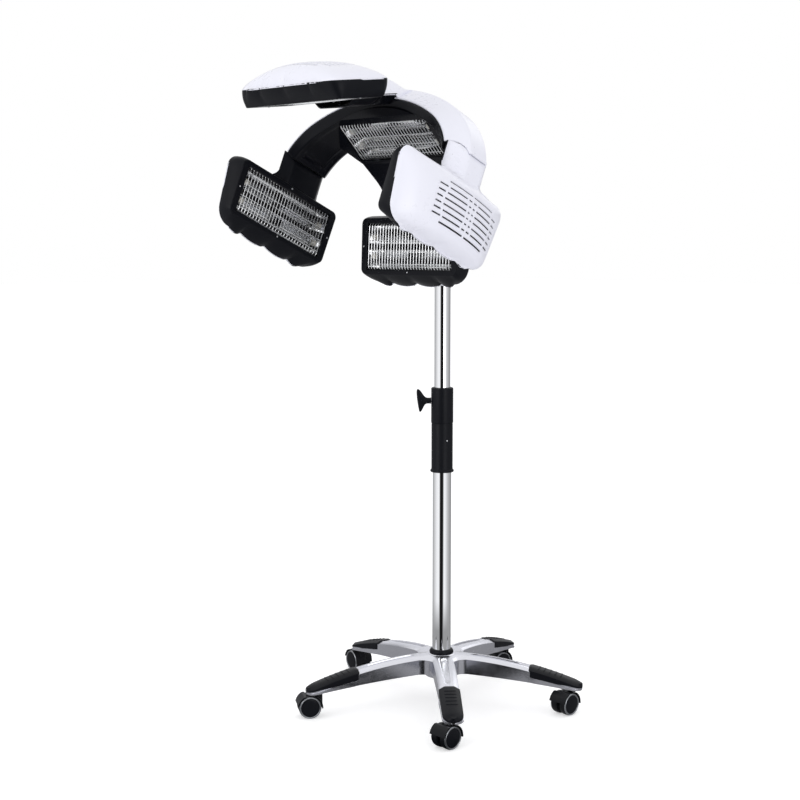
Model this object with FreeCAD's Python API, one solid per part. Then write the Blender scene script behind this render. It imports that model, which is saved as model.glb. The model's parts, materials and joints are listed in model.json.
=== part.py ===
"""Hair color processor: a rolling floor stand that carries five infrared heaters.

Row frame, in millimetres: the origin is on the floor under the mast's axis, +Z is up, the
client sits on the -Y side and faces away from the mast, and +X is the client's left.
"""
import FreeCAD, Part
import math
import os

V = FreeCAD.Vector

# ---------------------------------------------------------------- fits and walls
SLIDE_FIT = 0.08          # radial gap of a tube or shaft in its bore
SKIN_GAP = 0.4            # gap between moving mouldings
SEAT_GAP = 0.3            # gap between a moving piece and what carries it
WALL = 2.6                # moulded plastic wall
CAST_WALL = 4.0           # cast aluminium wall
ROUND_SIDES = 24          # flat sides of the small turned pieces

# ---------------------------------------------------------------- star base and casters
LEG_COUNT = 5
LEG_FIRST_DEG = -42.85    # direction of the front leg in plan
LEG_REACH = 322.0         # leg tip, measured from the mast's axis
LEG_TOP = (113.0, 102.0, 64.0)      # ridge height at the hub, the middle and the tip
LEG_LOW = (76.0, 68.0, 52.5)        # underside at the same places
LEG_MID_SHARE = 0.54      # where the middle heights lie along a leg
LEG_SPANS, HOLLOW_SPANS = 5, 3
LEG_W_HUB, LEG_W_TIP = 48.0, 42.0
LEG_BEVEL_RUN, LEG_BEVEL_DROP = 10.0, 5.5
WEB_R, WEB_LOW, WEB_TOP = 24.0, 74.0, 103.0
RIB_AT = (95.0, 160.0, 225.0)
HUB_R, HUB_SIDES = 42.0, 15
HUB_TOP, HUB_LOW = 115.0, 62.0
RECESS_FROM, RECESS_TO, RECESS_DEEP = 66.0, 190.0, 1.6
RECESS_W_IN, RECESS_W_OUT = 17.0, 8.0
TREAD_FROM = 203.0        # inner end of the foot cover
TREAD_THICK = 2.8
TREAD_SKIRT = 7.5         # how far the cover wraps down the flanks
TREAD_RIBS, TREAD_RIB_PITCH, TREAD_RIB_W, TREAD_RIB_H = 5, 12.5, 4.0, 1.1

WHEEL_R, WHEEL_W = 25.0, 17.0
CASTER_REACH = 296.0      # swivel axis, measured from the mast's axis
CASTER_TRAIL = 19.0
CASTER_TRAIL_DEG = (-92.5, -92.5, -102.5, 167.5, -123.5)
FORK_W = 9.0
AXLE_R = 4.0
HOOD_R = WHEEL_R + 3.5
HOOD_WALL = 2.2
STEM_R, STEM_LEN = 5.5, 16.0
STEM_SOCKET_R = 11.0
SWIVEL_TOP = 50.0         # top of the caster's housing

# ---------------------------------------------------------------- column
LOWER_TUBE_R, LOWER_TUBE_WALL = 21.0, 1.5
UPPER_TUBE_R, UPPER_TUBE_WALL = 18.0, 1.5
LOWER_TUBE_TOP = 560.0
COLLAR_LOW, COLLAR_STEP, COLLAR_TOP = 530.0, 640.0, 720.0
COLLAR_WALL = 3.0
COLLAR_R = LOWER_TUBE_R + COLLAR_WALL
COLLAR_FLANGE_R, COLLAR_FLANGE_H = COLLAR_R + 2.5, 5.0
UPPER_TUBE_LOW = 330.0
MAST_TOP = 1180.0
TUBE_FOOT_LEN = 40.0
HUB_RING_R, HUB_RING_H = LOWER_TUBE_R + 6.0, 9.0
BASE_BOLT_R, BASE_BOLT_HEAD_R, BASE_BOLT_HEAD_H = 5.0, 9.0, 6.5
BASE_WASHER_R, BASE_WASHER_H = 19.0, 3.0
PLUG_H = 40.0             # threaded plug inside the lower tube's foot

KNOB_Z = 690.0
KNOB_DEG = -137.5         # direction in plan in which the knob stands out
KNOB_BOSS_R, KNOB_BOSS_LEN = 9.5, 9.0
SCREW_R = 4.0
WING_SPAN, WING_THICK, WING_DEPTH = 52.0, 8.0, 15.0

# ---------------------------------------------------------------- heater panels
RIM_TOP_HALF, RIM_LOW_HALF = 162.0, 142.0
RIM_HALF_H = 74.0
RIM_R_TOP, RIM_R_LOW = 24.0, 40.0
FACE_HALF_W = 144.0
FACE_TOP, FACE_LOW = 67.0, -56.0
FACE_R = 13.0
HOUSING_DEPTH = 35.0
DOME_RISE = 44.0
DOME_STEPS = ((0.0, 1.0, 1.0), (0.4, 0.84, 0.95), (0.75, 0.56, 0.8), (1.0, 0.2, 0.5))
CORNER_CHORDS = 3         # chords per rounded corner of a panel's outline
LOBE_NOTCHES = (-72.0, 0.0, 72.0)
LOBE_SAG = 7.0
GRILLE_W, GRILLE_H = 254.0, 103.0
GRILLE_MID = 5.0          # height of the grille's centre above the panel's centre
GUARD_FLANGE = 4.0
WIRE_COUNT, WIRE_D = 29, 2.0
GUARD_PROUD = 0.6         # the guard stands out of the face by this much
REFLECTOR_DEEP = 30.0
REFLECTOR_SHEET, REFLECTOR_LIP = 1.2, 5.0
LAMP_R, LAMP_PITCH = 5.0, 42.0
LAMP_END_W = 12.0
VENT_ROWS, VENT_PITCH, VENT_W = 8, 12.0, 3.2
VENT_HALF_W, VENT_EDGE_HALF = 97.0, 73.0
VENT_GAP = 5.0
VENT_CUT_LOW = 6.0        # the vents' tool starts this far above the rim plane
NECK_HALF_W = 62.5        # half the width of an arm, a neck and a knuckle
NECK_RISE = 38.0          # panel's neck edge to the knuckle's axis
KNUCKLE_R = 27.0
NECK_OUT_BEVEL, NECK_IN_BEVEL = 35.0, 19.0
KNUCKLE_OUT = -6.5        # knuckle's axis, measured outward from the panel's rim plane
FRONT_KNUCKLE_OUT = -20.0
KNUCKLE_LIP = 12.0        # arm's end above the knuckle's axis
TONGUE_W = 34.0
MOUTH_HALF = 22.5         # half the knuckle's mouth, which leaves the outer skin closed
PIN_R = 5.0
SIDE_NECK_SHIFT = 27.0    # side panels hang forward of their arms by this much

# ---------------------------------------------------------------- head frame
HEAD_LEAN_DEG = 23.5      # the arch leans back by this much
ARCH_Y, ARCH_Z = -276.0, MAST_TOP
ARCH_SHOULDER_R, ARCH_SHOULDER_X = 150.0, 97.0
ARCH_SHOULDER_DEG = 60.0
ARCH_DEPTH = 125.0
ARCH_OUT, ARCH_IN = 37.0, 20.0
SIDE_KNUCKLE_T = 41.0     # side knuckles above the arch's spring line
REAR_PANEL_Y, REAR_PANEL_Z, REAR_PANEL_LEAN = -76.0, MAST_TOP - 154.0, 3.0
FRONT_PANEL_Y, FRONT_PANEL_Z, FRONT_PANEL_TILT = -393.0, MAST_TOP + 173.0, 6.0
SIDE_KNUCKLE_X = 247.5    # side knuckles' distance from the middle
TONGUE_R, BLOCK_LEN, BLOCK_HALF, PIN_HALF = 13.0, 26.0, 32.0, 50.0
FRONT_NECK_LEN = 116.0
NECK_HOLLOW = 62.0        # the front neck's hollow ends this far above the knuckle's axis
CROWN_FACE_Y, CROWN_FACE_Z, CROWN_SLOPE_DEG = -161.2, MAST_TOP + 73.9, 44.0
HOOD_LIP_Y, HOOD_LIP_Z = -209.0, MAST_TOP + 120.7
SPINE_FRONT_Y, SPINE_FRONT_Z = -117.5, MAST_TOP + 32.0
SPINE_BACK_Y, SPINE_WAIST_Y = 44.0, -44.0
SPINE_LOW_HALF, SPINE_HIGH_HALF = 62.5, 196.0
SPINE_FLARE_LOW, SPINE_FLARE_HIGH = MAST_TOP - 38.0, MAST_TOP + 100.0
PROW_TIP_HALF, PROW_Y = 64.0, -92.0
SPLIT_T = 112.0           # where the hood's joint reaches the arch's back edge
REAR_STEPS = ((0.0, 0.0), (70.0, -6.0), (150.0, -26.0), (250.0, -90.0))
SOCKET_R, SOCKET_LOW = 27.0, MAST_TOP - 90.0
SOCKET_COLLAR_R, SOCKET_COLLAR_H = 33.0, 12.0

# ---------------------------------------------------------------- controls on the back
PLATE_W, PLATE_H, PLATE_Z = 70.0, 66.0, MAST_TOP - 20.0
WINDOW_W, WINDOW_H, WINDOW_Z = 42.0, 18.0, MAST_TOP - 1.0
KEY_R, KEY_X, KEY_Z, KEY_TRAVEL = 5.0, (-22.0, -8.0, 6.0), MAST_TOP - 34.0, 1.5
ROCKER_W, ROCKER_H, ROCKER_X, ROCKER_Z = 12.0, 18.0, 25.0, MAST_TOP - 34.0
GLAND_R, GLAND_BODY_R, GLAND_Z = 4.0, 8.0, MAST_TOP - 72.0


def arc3(a, b, c):
    """Return the arc edge from a through b to c."""
    return Part.Arc(a, b, c).toShape()


def line(a, b):
    """Return the straight edge from a to b."""
    return Part.LineSegment(a, b).toShape()


def corner_arc(before, corner, after, radius):
    """Return the three points of the arc that rounds a corner."""
    back = before.sub(corner).normalize()
    ahead = after.sub(corner).normalize()
    half = back.getAngle(ahead) / 2
    middle = back.add(ahead).normalize()
    reach = radius / math.tan(half)
    centre = corner.add(V(middle).multiply(radius / math.sin(half)))
    return (corner.add(V(back).multiply(reach)),
            centre.sub(V(middle).multiply(radius)),
            corner.add(V(ahead).multiply(reach)))


def rounded(points, radii, z=0.0):
    """Return a closed outline at height z whose corners are rounded, one radius each."""
    corners = [V(x, y, z) for x, y in points]
    count = len(corners)
    arcs = [corner_arc(corners[i - 1], corners[i], corners[(i + 1) % count], radii[i])
            for i in range(count)]
    edges = []
    for i, arc in enumerate(arcs):
        edges.append(arc3(*arc))
        following = arcs[(i + 1) % count][0]
        if arc[2].distanceToPoint(following) > 1e-4:
            edges.append(line(arc[2], following))
    return Part.Wire(edges)


def polygon(points):
    """Return the closed wire through the points."""
    return Part.makePolygon(list(points) + [points[0]])


def prism(wire, direction):
    """Return the solid that a closed flat wire sweeps along a vector."""
    return Part.Face(wire).extrude(direction)


def stack(rings):
    """Return the solid whose skin joins outlines of equal point counts with flat facets."""
    faces = [Part.Face(polygon(rings[0])), Part.Face(polygon(rings[-1]))]
    for low, high in zip(rings, rings[1:]):
        for i in range(len(low)):
            faces += facets([low[i - 1], low[i], high[i], high[i - 1]])
    solid = Part.makeSolid(Part.makeShell(faces))
    if solid.Volume < 0:
        solid.reverse()
    return solid


def facets(quad):
    """Return a four-cornered patch as one flat face, or as two where it is twisted."""
    normal = quad[1].sub(quad[0]).cross(quad[2].sub(quad[0]))
    if abs(normal.normalize().dot(quad[3].sub(quad[0]))) < 1e-7:
        return [Part.Face(polygon(quad))]
    return [Part.Face(polygon(quad[:3])), Part.Face(polygon([quad[0], quad[2], quad[3]]))]


def box(x, y, z):
    """Return a box from three (low, high) pairs."""
    return Part.makeBox(x[1] - x[0], y[1] - y[0], z[1] - z[0], V(x[0], y[0], z[0]))


def disc(radius, low, high, at=(0.0, 0.0)):
    """Return an upright round bar."""
    return Part.makeCylinder(radius, high - low, V(at[0], at[1], low))


def ring(outer, inner, low, high):
    """Return an upright tube."""
    return disc(outer, low, high).cut(disc(inner, low - 1, high + 1))


def bar(radius, start, end):
    """Return a round bar between two points."""
    return Part.makeCylinder(radius, end.sub(start).Length, start, end.sub(start))


def lathe(profile, sides=ROUND_SIDES, clear=False):
    """Return a turned piece about +z from (radius, height) points, low to high.

    It has flat sides, whose corners lie on the radius, or whose flats do when clear is set.
    """
    swell = 1 / math.cos(math.pi / sides) if clear else 1.0
    rings = []
    for radius, height in profile:
        ring_points = []
        for k in range(sides):
            turn = 2 * math.pi * k / sides
            ring_points.append(V(radius * swell * math.cos(turn),
                                 radius * swell * math.sin(turn), height))
        rings.append(ring_points)
    return stack(rings)


def rod(radius, start, end, sides=ROUND_SIDES, clear=False):
    """Return a flat-sided round rod between two points."""
    way = end.sub(start)
    side = V(0, 0, 1) if abs(way.z) < 0.9 * way.Length else V(1, 0, 0)
    across = side.cross(way).normalize()
    second = V(way).normalize().cross(across)
    piece = lathe([(radius, 0), (radius, way.Length)], sides, clear)
    return placed(piece, frame_at(start, across, second))


def frame_at(origin, u, v):
    """Return the placement that takes local x, y, z to u, v and u x v at an origin."""
    n = u.cross(v)
    return FreeCAD.Placement(FreeCAD.Matrix(u.x, v.x, n.x, origin.x, u.y, v.y, n.y, origin.y,
                                            u.z, v.z, n.z, origin.z, 0, 0, 0, 1))


def placed(shape, placement):
    """Return a copy of a shape moved by a placement."""
    return shape.transformed(placement.Matrix, True)


def turned(shape, degrees):
    """Return a copy of a shape turned about the mast's axis."""
    copy = shape.copy()
    copy.rotate(V(0, 0, 0), V(0, 0, 1), degrees)
    return copy


def save(name, *solids):
    """Write one sub-part's solids as one STEP file."""
    flat = []
    for shape in solids:
        flat += shape.Solids
    shape = flat[0] if len(flat) == 1 else Part.makeCompound(flat)
    shape.exportStep("parts/" + name + ".step")


# ================================================================ star base
def bent(ends, x):
    """Return the height at x of the parabola through a leg's hub, middle and tip heights."""
    hub, mid, tip = ends
    t, m = x / LEG_REACH, LEG_MID_SHARE
    return (hub * (t - m) * (t - 1) / m + mid * t * (t - 1) / (m * (m - 1))
            + tip * t * (t - m) / (1 - m))


def leg_half_width(x):
    """Return half the leg's width at x, round at the tip."""
    half = (LEG_W_HUB + (LEG_W_TIP - LEG_W_HUB) * x / LEG_REACH) / 2
    bend = LEG_REACH - LEG_W_TIP / 2
    if x > bend:
        half *= math.sqrt(max(1 - ((x - bend) / (LEG_REACH - bend)) ** 2, 0.02))
    return half


def leg_stations(start):
    """Return the distances at which a leg's section is drawn, closer together at its tip."""
    bend = LEG_REACH - LEG_W_TIP / 2
    body = [start + (bend - start) * k / LEG_SPANS for k in range(LEG_SPANS + 1)]
    tip = [bend + (LEG_REACH - bend) * math.sin(math.radians(a)) for a in (32, 60, 90)]
    return body + tip


def leg_loft(start, grow=0.0, skirt=None):
    """Return a leg, or with a skirt depth the block that a foot cover is cut from."""
    wires = []
    for x in leg_stations(start):
        half = leg_half_width(x) + grow
        ridge = max(half - LEG_BEVEL_RUN, half * 0.45)
        top = bent(LEG_TOP, x) + grow
        edge = top - LEG_BEVEL_DROP
        low = bent(LEG_LOW, x) if skirt is None else edge - grow - skirt
        at = x + grow * max(0.0, (x - start) / (LEG_REACH - start))
        wires.append([V(at, -half, low), V(at, half, low), V(at, half, edge),
                      V(at, ridge, top), V(at, -ridge, top), V(at, -half, edge)])
    return stack(wires)


def leg_hollow():
    """Return the ribbed pocket under a leg."""
    wires = []
    end = CASTER_REACH - STEM_SOCKET_R - 3
    start = HUB_R - 6
    for k in range(HOLLOW_SPANS + 1):
        x = start + (end - start) * k / HOLLOW_SPANS
        half = leg_half_width(x) - CAST_WALL
        top = bent(LEG_TOP, x) - CAST_WALL
        edge, low = top - LEG_BEVEL_DROP, bent(LEG_LOW, x) - 5
        ridge = half - LEG_BEVEL_RUN
        wires.append([V(x, -half, low), V(x, half, low), V(x, half, edge),
                      V(x, ridge, top), V(x, -ridge, top), V(x, -half, edge)])
    hollow = stack(wires)
    for at in RIB_AT:
        hollow = hollow.cut(box((at - CAST_WALL / 2, at + CAST_WALL / 2), (-LEG_W_HUB, LEG_W_HUB),
                                (0, HUB_TOP)))
    return hollow


def leg_recess():
    """Return the tool for the shallow tapering recess in a leg's ridge."""
    wires = []
    for k in range(4):
        x = RECESS_FROM + (RECESS_TO - RECESS_FROM) * k / 3
        half = (RECESS_W_IN + (RECESS_W_OUT - RECESS_W_IN) * k / 3) / 2
        floor = bent(LEG_TOP, x) - RECESS_DEEP
        wires.append([V(x, -half, floor), V(x, half, floor), V(x, half, floor + 9),
                      V(x, -half, floor + 9)])
    return stack(wires)


def make_star_base():
    """Return the cast five-leg base: hub, hollow ribbed legs and caster sockets."""
    leg = leg_loft(0.0).cut(leg_hollow()).cut(leg_recess())
    socket = lathe([(STEM_SOCKET_R, SWIVEL_TOP + SEAT_GAP), (STEM_SOCKET_R, LEG_LOW[2] + 8)], 12)
    bore_top = SWIVEL_TOP + STEM_LEN + SEAT_GAP
    bore = lathe([(STEM_R + SLIDE_FIT, 0), (STEM_R + SLIDE_FIT, bore_top)], 12, True)
    for tool in (socket, bore):
        tool.translate(V(CASTER_REACH, 0, 0))
    leg = leg.fuse(socket).cut(bore)
    leg = leg.fuse(hub_web())
    base = hub_block()
    for i in range(LEG_COUNT):
        base = base.fuse(turned(leg, LEG_FIRST_DEG + i * 360 / LEG_COUNT))
    bore = disc(LOWER_TUBE_R, tube_floor(), HUB_TOP + 5)
    bolt_hole = lathe([(BASE_BOLT_R + SEAT_GAP, 0), (BASE_BOLT_R + SEAT_GAP, HUB_TOP)], 12, True)
    return base.cut(bore).cut(bolt_hole).removeSplitter()


def tube_floor():
    """Return the height at which the lower tube stands in the hub."""
    return HUB_LOW + CAST_WALL


def hub_web():
    """Return the concave web that joins one leg to the next round the hub."""
    turn = math.radians(360 / LEG_COUNT)
    half = leg_half_width(HUB_R)
    reach = half / math.sin(turn / 2)
    corner = V(reach * math.cos(turn / 2), reach * math.sin(turn / 2), 0)
    along = V(1, 0, 0)
    second = V(math.cos(turn), math.sin(turn), 0)
    arc = corner_arc(corner.add(along), corner, corner.add(second), WEB_R)
    edges = [arc3(*arc), line(arc[2], V(0, 0, 0)), line(V(0, 0, 0), arc[0])]
    web = prism(Part.Wire(edges), V(0, 0, WEB_TOP - WEB_LOW))
    web.translate(V(0, 0, WEB_LOW))
    return web


def hub_block():
    """Return the hub that the legs run into, sloped on top."""
    return turned(lathe([(HUB_R, HUB_LOW), (HUB_R + 3, HUB_TOP - 10), (HUB_RING_R + 1, HUB_TOP)],
                        HUB_SIDES), LEG_FIRST_DEG + 180 / HUB_SIDES)


def make_foot_cover():
    """Return one moulded foot cover with its grip ribs."""
    cover = leg_loft(TREAD_FROM, TREAD_THICK, TREAD_SKIRT)
    for i in range(TREAD_RIBS):
        at = TREAD_FROM + 20 + i * TREAD_RIB_PITCH
        half = leg_half_width(at) - LEG_BEVEL_RUN
        low, high = bent(LEG_TOP, at), bent(LEG_TOP, at) + TREAD_THICK + TREAD_RIB_H
        drop = bent(LEG_TOP, at) - bent(LEG_TOP, at + TREAD_RIB_W)
        rib = prism(polygon([V(at, -half, low), V(at + TREAD_RIB_W, -half, low - drop),
                             V(at + TREAD_RIB_W, -half, high - drop), V(at, -half, high)]),
                    V(0, 2 * half, 0))
        cover = cover.fuse(rib)
    return cover.cut(leg_loft(0.0))


# ================================================================ casters
def caster_place(i):
    """Return the placement of a caster: swivel axis at the origin, trail along +x."""
    leg = math.radians(LEG_FIRST_DEG + i * 360 / LEG_COUNT)
    trail = math.radians(CASTER_TRAIL_DEG[i])
    return frame_at(V(CASTER_REACH * math.cos(leg), CASTER_REACH * math.sin(leg), 0),
                    V(math.cos(trail), math.sin(trail), 0),
                    V(-math.sin(trail), math.cos(trail), 0))


def make_caster_housing():
    """Return the nylon hood, its fork web and the steel stem as one swivelling piece."""
    half = FORK_W / 2 + WHEEL_W + SEAT_GAP
    axle = V(CASTER_TRAIL, 0, WHEEL_R)
    hood = rod(HOOD_R, V(axle.x, -half, axle.z), V(axle.x, half, axle.z))
    inner = rod(HOOD_R - HOOD_WALL, V(axle.x, -half - 1, axle.z), V(axle.x, half + 1, axle.z))
    web = rod(HOOD_R - HOOD_WALL, V(axle.x, -FORK_W / 2, axle.z), V(axle.x, FORK_W / 2, axle.z))
    body = hood.cut(inner).fuse(web)
    below = prism(polygon([V(-60, -40, 8), V(-60, -40, 22), V(axle.x, -40, axle.z - 2),
                           V(90, -40, 44), V(90, -40, -40), V(-60, -40, -40)]), V(0, 80, 0))
    web_keep = rod(AXLE_R + 5, V(axle.x, -FORK_W / 2, axle.z), V(axle.x, FORK_W / 2, axle.z), 12)
    body = body.cut(below).fuse(web_keep)
    boss = lathe([(STEM_R + 5.5, WHEEL_R + 4), (STEM_R + 5.5, SWIVEL_TOP)], 12)
    boss = boss.cut(inner.cut(web))
    bridge = box((0, axle.x), (-STEM_R - 4, STEM_R + 4), (WHEEL_R + 16, SWIVEL_TOP))
    body = body.fuse(boss).fuse(bridge.cut(inner.cut(web)))
    body = body.common(box((-90, 90), (-90, 90), (2, SWIVEL_TOP)))
    stem = lathe([(STEM_R, SWIVEL_TOP - 2), (STEM_R, SWIVEL_TOP + STEM_LEN)], 12)
    bore = rod(AXLE_R + SLIDE_FIT, V(axle.x, -40, axle.z), V(axle.x, 40, axle.z), 12, True)
    return body.fuse(stem).cut(bore).removeSplitter()


def make_caster_wheels():
    """Return the twin wheels pressed on their axle."""
    near, far = FORK_W / 2 + SEAT_GAP, FORK_W / 2 + WHEEL_W
    wheel = lathe([(WHEEL_R, near), (WHEEL_R, far - 3), (WHEEL_R - 3, far)])
    axle = lathe([(AXLE_R, -near - 1), (AXLE_R, near + 1)], 12)
    pair = axle.fuse(wheel).fuse(wheel.mirror(V(0, 0, 0), V(0, 0, 1)))
    return placed(pair, frame_at(V(CASTER_TRAIL, 0, WHEEL_R), V(1, 0, 0), V(0, 0, -1)))


# ================================================================ column
def make_base_bolt():
    """Return the bolt and washer that draw the lower tube down into the hub."""
    corners = [V(BASE_BOLT_HEAD_R * math.cos(math.radians(60 * k)),
                 BASE_BOLT_HEAD_R * math.sin(math.radians(60 * k)),
                 HUB_LOW - BASE_BOLT_HEAD_H - BASE_WASHER_H) for k in range(6)]
    bolt = prism(polygon(corners), V(0, 0, BASE_BOLT_HEAD_H))
    washer = lathe([(BASE_WASHER_R, HUB_LOW - BASE_WASHER_H), (BASE_WASHER_R, HUB_LOW)])
    shank = lathe([(BASE_BOLT_R, HUB_LOW), (BASE_BOLT_R, tube_floor() + PLUG_H * 0.8)], 12)
    return bolt.fuse(washer).fuse(shank)


def make_lower_tube():
    """Return the fixed lower tube with the threaded plug that takes the base bolt."""
    low = tube_floor()
    tube = ring(LOWER_TUBE_R, LOWER_TUBE_R - LOWER_TUBE_WALL, low, LOWER_TUBE_TOP)
    plug = disc(LOWER_TUBE_R - LOWER_TUBE_WALL, low, low + PLUG_H)
    thread = lathe([(BASE_BOLT_R, low - 1), (BASE_BOLT_R, low + PLUG_H + 1)], 12, True)
    return tube.fuse(plug.cut(thread))


def make_hub_ring():
    """Return the moulded trim ring round the tube where it enters the hub."""
    trim = lathe([(HUB_RING_R, HUB_TOP), (HUB_RING_R, HUB_TOP + HUB_RING_H * 0.45),
                  (LOWER_TUBE_R + 1.5, HUB_TOP + HUB_RING_H)])
    return trim.cut(lathe([(LOWER_TUBE_R, HUB_TOP - 1), (LOWER_TUBE_R, HUB_TOP + HUB_RING_H + 1)],
                          clear=True))


def make_clamp_collar():
    """Return the moulded clamp collar that joins the tubes and carries the knob."""
    flange_top, fuller = COLLAR_LOW + COLLAR_FLANGE_H, COLLAR_R + 0.8
    outer = lathe([(COLLAR_FLANGE_R, COLLAR_LOW), (COLLAR_FLANGE_R, flange_top),
                   (COLLAR_R, flange_top + 1), (COLLAR_R, COLLAR_STEP), (fuller, COLLAR_STEP + 1),
                   (fuller, COLLAR_TOP - 4), (COLLAR_R, COLLAR_TOP)])
    out = knob_direction()
    boss_start = V(0, 0, KNOB_Z).add(V(out).multiply(COLLAR_R - 6))
    boss_end = V(0, 0, KNOB_Z).add(V(out).multiply(COLLAR_R + KNOB_BOSS_LEN))
    outer = outer.fuse(rod(KNOB_BOSS_R, boss_start, boss_end, 12))
    bores = lathe([(LOWER_TUBE_R, COLLAR_LOW - 1), (LOWER_TUBE_R, LOWER_TUBE_TOP)], clear=True)
    bores = bores.fuse(lathe([(guide_bush_radius(), LOWER_TUBE_TOP - 1),
                              (guide_bush_radius(), COLLAR_TOP + 1)], clear=True))
    screw_hole = rod(SCREW_R + SLIDE_FIT, V(0, 0, KNOB_Z),
                     boss_end.add(V(out).multiply(2)), 12, True)
    return outer.cut(bores).cut(screw_hole)


def guide_bush_radius():
    """Return the guide bush's outer radius."""
    return LOWER_TUBE_R - LOWER_TUBE_WALL - SLIDE_FIT


def knob_direction():
    """Return the unit vector along which the clamp screw stands out."""
    turn = math.radians(KNOB_DEG)
    return V(math.cos(turn), math.sin(turn), 0)


def make_guide_bush():
    """Return the split nylon bush that guides the upper tube through the collar."""
    bush = ring(guide_bush_radius(), UPPER_TUBE_R + SLIDE_FIT, LOWER_TUBE_TOP - 60, COLLAR_TOP - 1)
    out = knob_direction()
    hole = rod(SCREW_R + 1.5, V(0, 0, KNOB_Z), V(0, 0, KNOB_Z).add(V(out).multiply(COLLAR_R)), 12)
    return bush.cut(hole)


def make_clamp_screw():
    """Return the clamp screw with the pad that bears on the upper tube."""
    out = knob_direction()
    start = V(0, 0, KNOB_Z).add(V(out).multiply(UPPER_TUBE_R + SEAT_GAP))
    end = V(0, 0, KNOB_Z).add(V(out).multiply(COLLAR_R + KNOB_BOSS_LEN + 14))
    return rod(SCREW_R, start, end, 12)


def make_wing_knob():
    """Return the T-shaped wing knob on the clamp screw."""
    lift = COLLAR_R + KNOB_BOSS_LEN + SKIN_GAP
    stem = lathe([(KNOB_BOSS_R, 0), (KNOB_BOSS_R - 2.5, 7)], 12)
    half, waist = WING_SPAN / 2, WING_DEPTH / 2
    wing = polygon([V(x, y, 0) for x, y in (
        (-half, 3), (-half * 0.4, 6), (half * 0.4, 6), (half, 3), (half, WING_DEPTH * 0.75),
        (half * 0.85, WING_DEPTH * 0.85), (0, WING_DEPTH * 0.6), (-half * 0.85, WING_DEPTH * 0.85),
        (-half, WING_DEPTH * 0.75))])
    blade = prism(wing, V(0, 0, WING_THICK))
    blade.translate(V(0, -1.5, -WING_THICK / 2))
    blade.rotate(V(0, 0, 0), V(1, 0, 0), 90)
    blade.translate(V(0, 0, 2))
    core = lathe([(waist, 0), (waist, 2 + WING_DEPTH * 0.5)], 12)
    hole = lathe([(SCREW_R, -1), (SCREW_R, 14 - SKIN_GAP)], 12, True)
    knob = stem.fuse(blade).fuse(core).cut(hole)
    out = knob_direction()
    across = V(0, 0, 1).add(V(out.y, -out.x, 0).multiply(0.2)).normalize()
    return placed(knob, frame_at(V(0, 0, KNOB_Z).add(V(out).multiply(lift)),
                                 across, out.cross(across)))


def make_upper_tube():
    """Return the sliding upper tube."""
    return ring(UPPER_TUBE_R, UPPER_TUBE_R - UPPER_TUBE_WALL, UPPER_TUBE_LOW, MAST_TOP)


def make_tube_foot():
    """Return the nylon foot that keeps the upper tube centred in the lower one."""
    low = UPPER_TUBE_LOW - TUBE_FOOT_LEN * 0.4
    inner = UPPER_TUBE_R - UPPER_TUBE_WALL - SLIDE_FIT
    slide, top = LOWER_TUBE_R - LOWER_TUBE_WALL - SLIDE_FIT, UPPER_TUBE_LOW + TUBE_FOOT_LEN * 0.6
    foot = lathe([(slide, low), (slide, UPPER_TUBE_LOW)])
    foot = foot.fuse(lathe([(inner, UPPER_TUBE_LOW), (inner, top)]))
    return foot.cut(lathe([(inner - 3, low - 1), (inner - 3, top + 1)], 12))


# ================================================================ heater panels
def chorded(corners, radii):
    """Return an outline's points with each corner's arc drawn as short chords."""
    points = []
    for i, radius in enumerate(radii):
        before, corner, after = corners[i - 1], corners[i], corners[(i + 1) % len(corners)]
        start, middle, end = corner_arc(before, corner, after, radius)
        arc = Part.Arc(start, middle, end)
        points.append([arc.value(arc.FirstParameter + (arc.LastParameter - arc.FirstParameter)
                                 * k / CORNER_CHORDS) for k in range(CORNER_CHORDS + 1)])
    return points


def lobed_points(z, top, low, halves, radii, notches, lobe):
    """Return a rounded trapezoid whose low edge is a row of lobes between notches."""
    corners = [V(halves[0], top, z), V(-halves[0], top, z), V(-halves[1], low, z),
               V(halves[1], low, z)]
    arcs = chorded(corners, [radii[0], radii[0], radii[1], radii[1]])
    points = arcs[0] + arcs[1] + arcs[2]
    stops = [arcs[2][-1].x] + notches + [arcs[3][0].x]
    for i, (start, end) in enumerate(zip(stops, stops[1:])):
        for share in (1 / 3, 2 / 3):
            points.append(V(start + (end - start) * share, low - lobe, z))
        if i < len(stops) - 2:
            points.append(V(end, low, z))
    return points + arcs[3]


def rim_points(z, scale=(1.0, 1.0), inset=0.0, lobe=LOBE_SAG):
    """Return the panel's outline at height z, scaled about its centre and then inset."""
    wide, tall = scale
    halves = (RIM_TOP_HALF * wide - inset, RIM_LOW_HALF * wide - inset)
    less = min(wide, tall)
    radii = (max(RIM_R_TOP * less - inset, 4.0), max(RIM_R_LOW * less - inset, 6.0))
    return lobed_points(z, RIM_HALF_H * tall - inset, -RIM_HALF_H * tall + inset, halves, radii,
                        [at * wide for at in LOBE_NOTCHES], lobe)


def face_points(z, inset=0.0):
    """Return the outline of the housing's flat face, which has plain straight edges."""
    half = FACE_HALF_W - inset
    return lobed_points(z, FACE_TOP - inset, FACE_LOW + inset, (half, half - 2),
                        (FACE_R, FACE_R), list(LOBE_NOTCHES), 0.0)


def housing_block(inset=0.0, top=0.0, low=-HOUSING_DEPTH):
    """Return the housing's tapering block between its rim and its face."""
    return stack([face_points(low, inset), rim_points(top, inset=inset)])


def dome_block(inset=0.0, low=0.0):
    """Return the cover's crowned form, smaller all round by an inset."""
    rings = []
    for rise, wide, tall in DOME_STEPS:
        z = low + (DOME_RISE - inset - low) * rise
        rings.append(rim_points(z, (wide, tall), inset, LOBE_SAG * (1 - rise)))
    return stack(rings)


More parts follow.
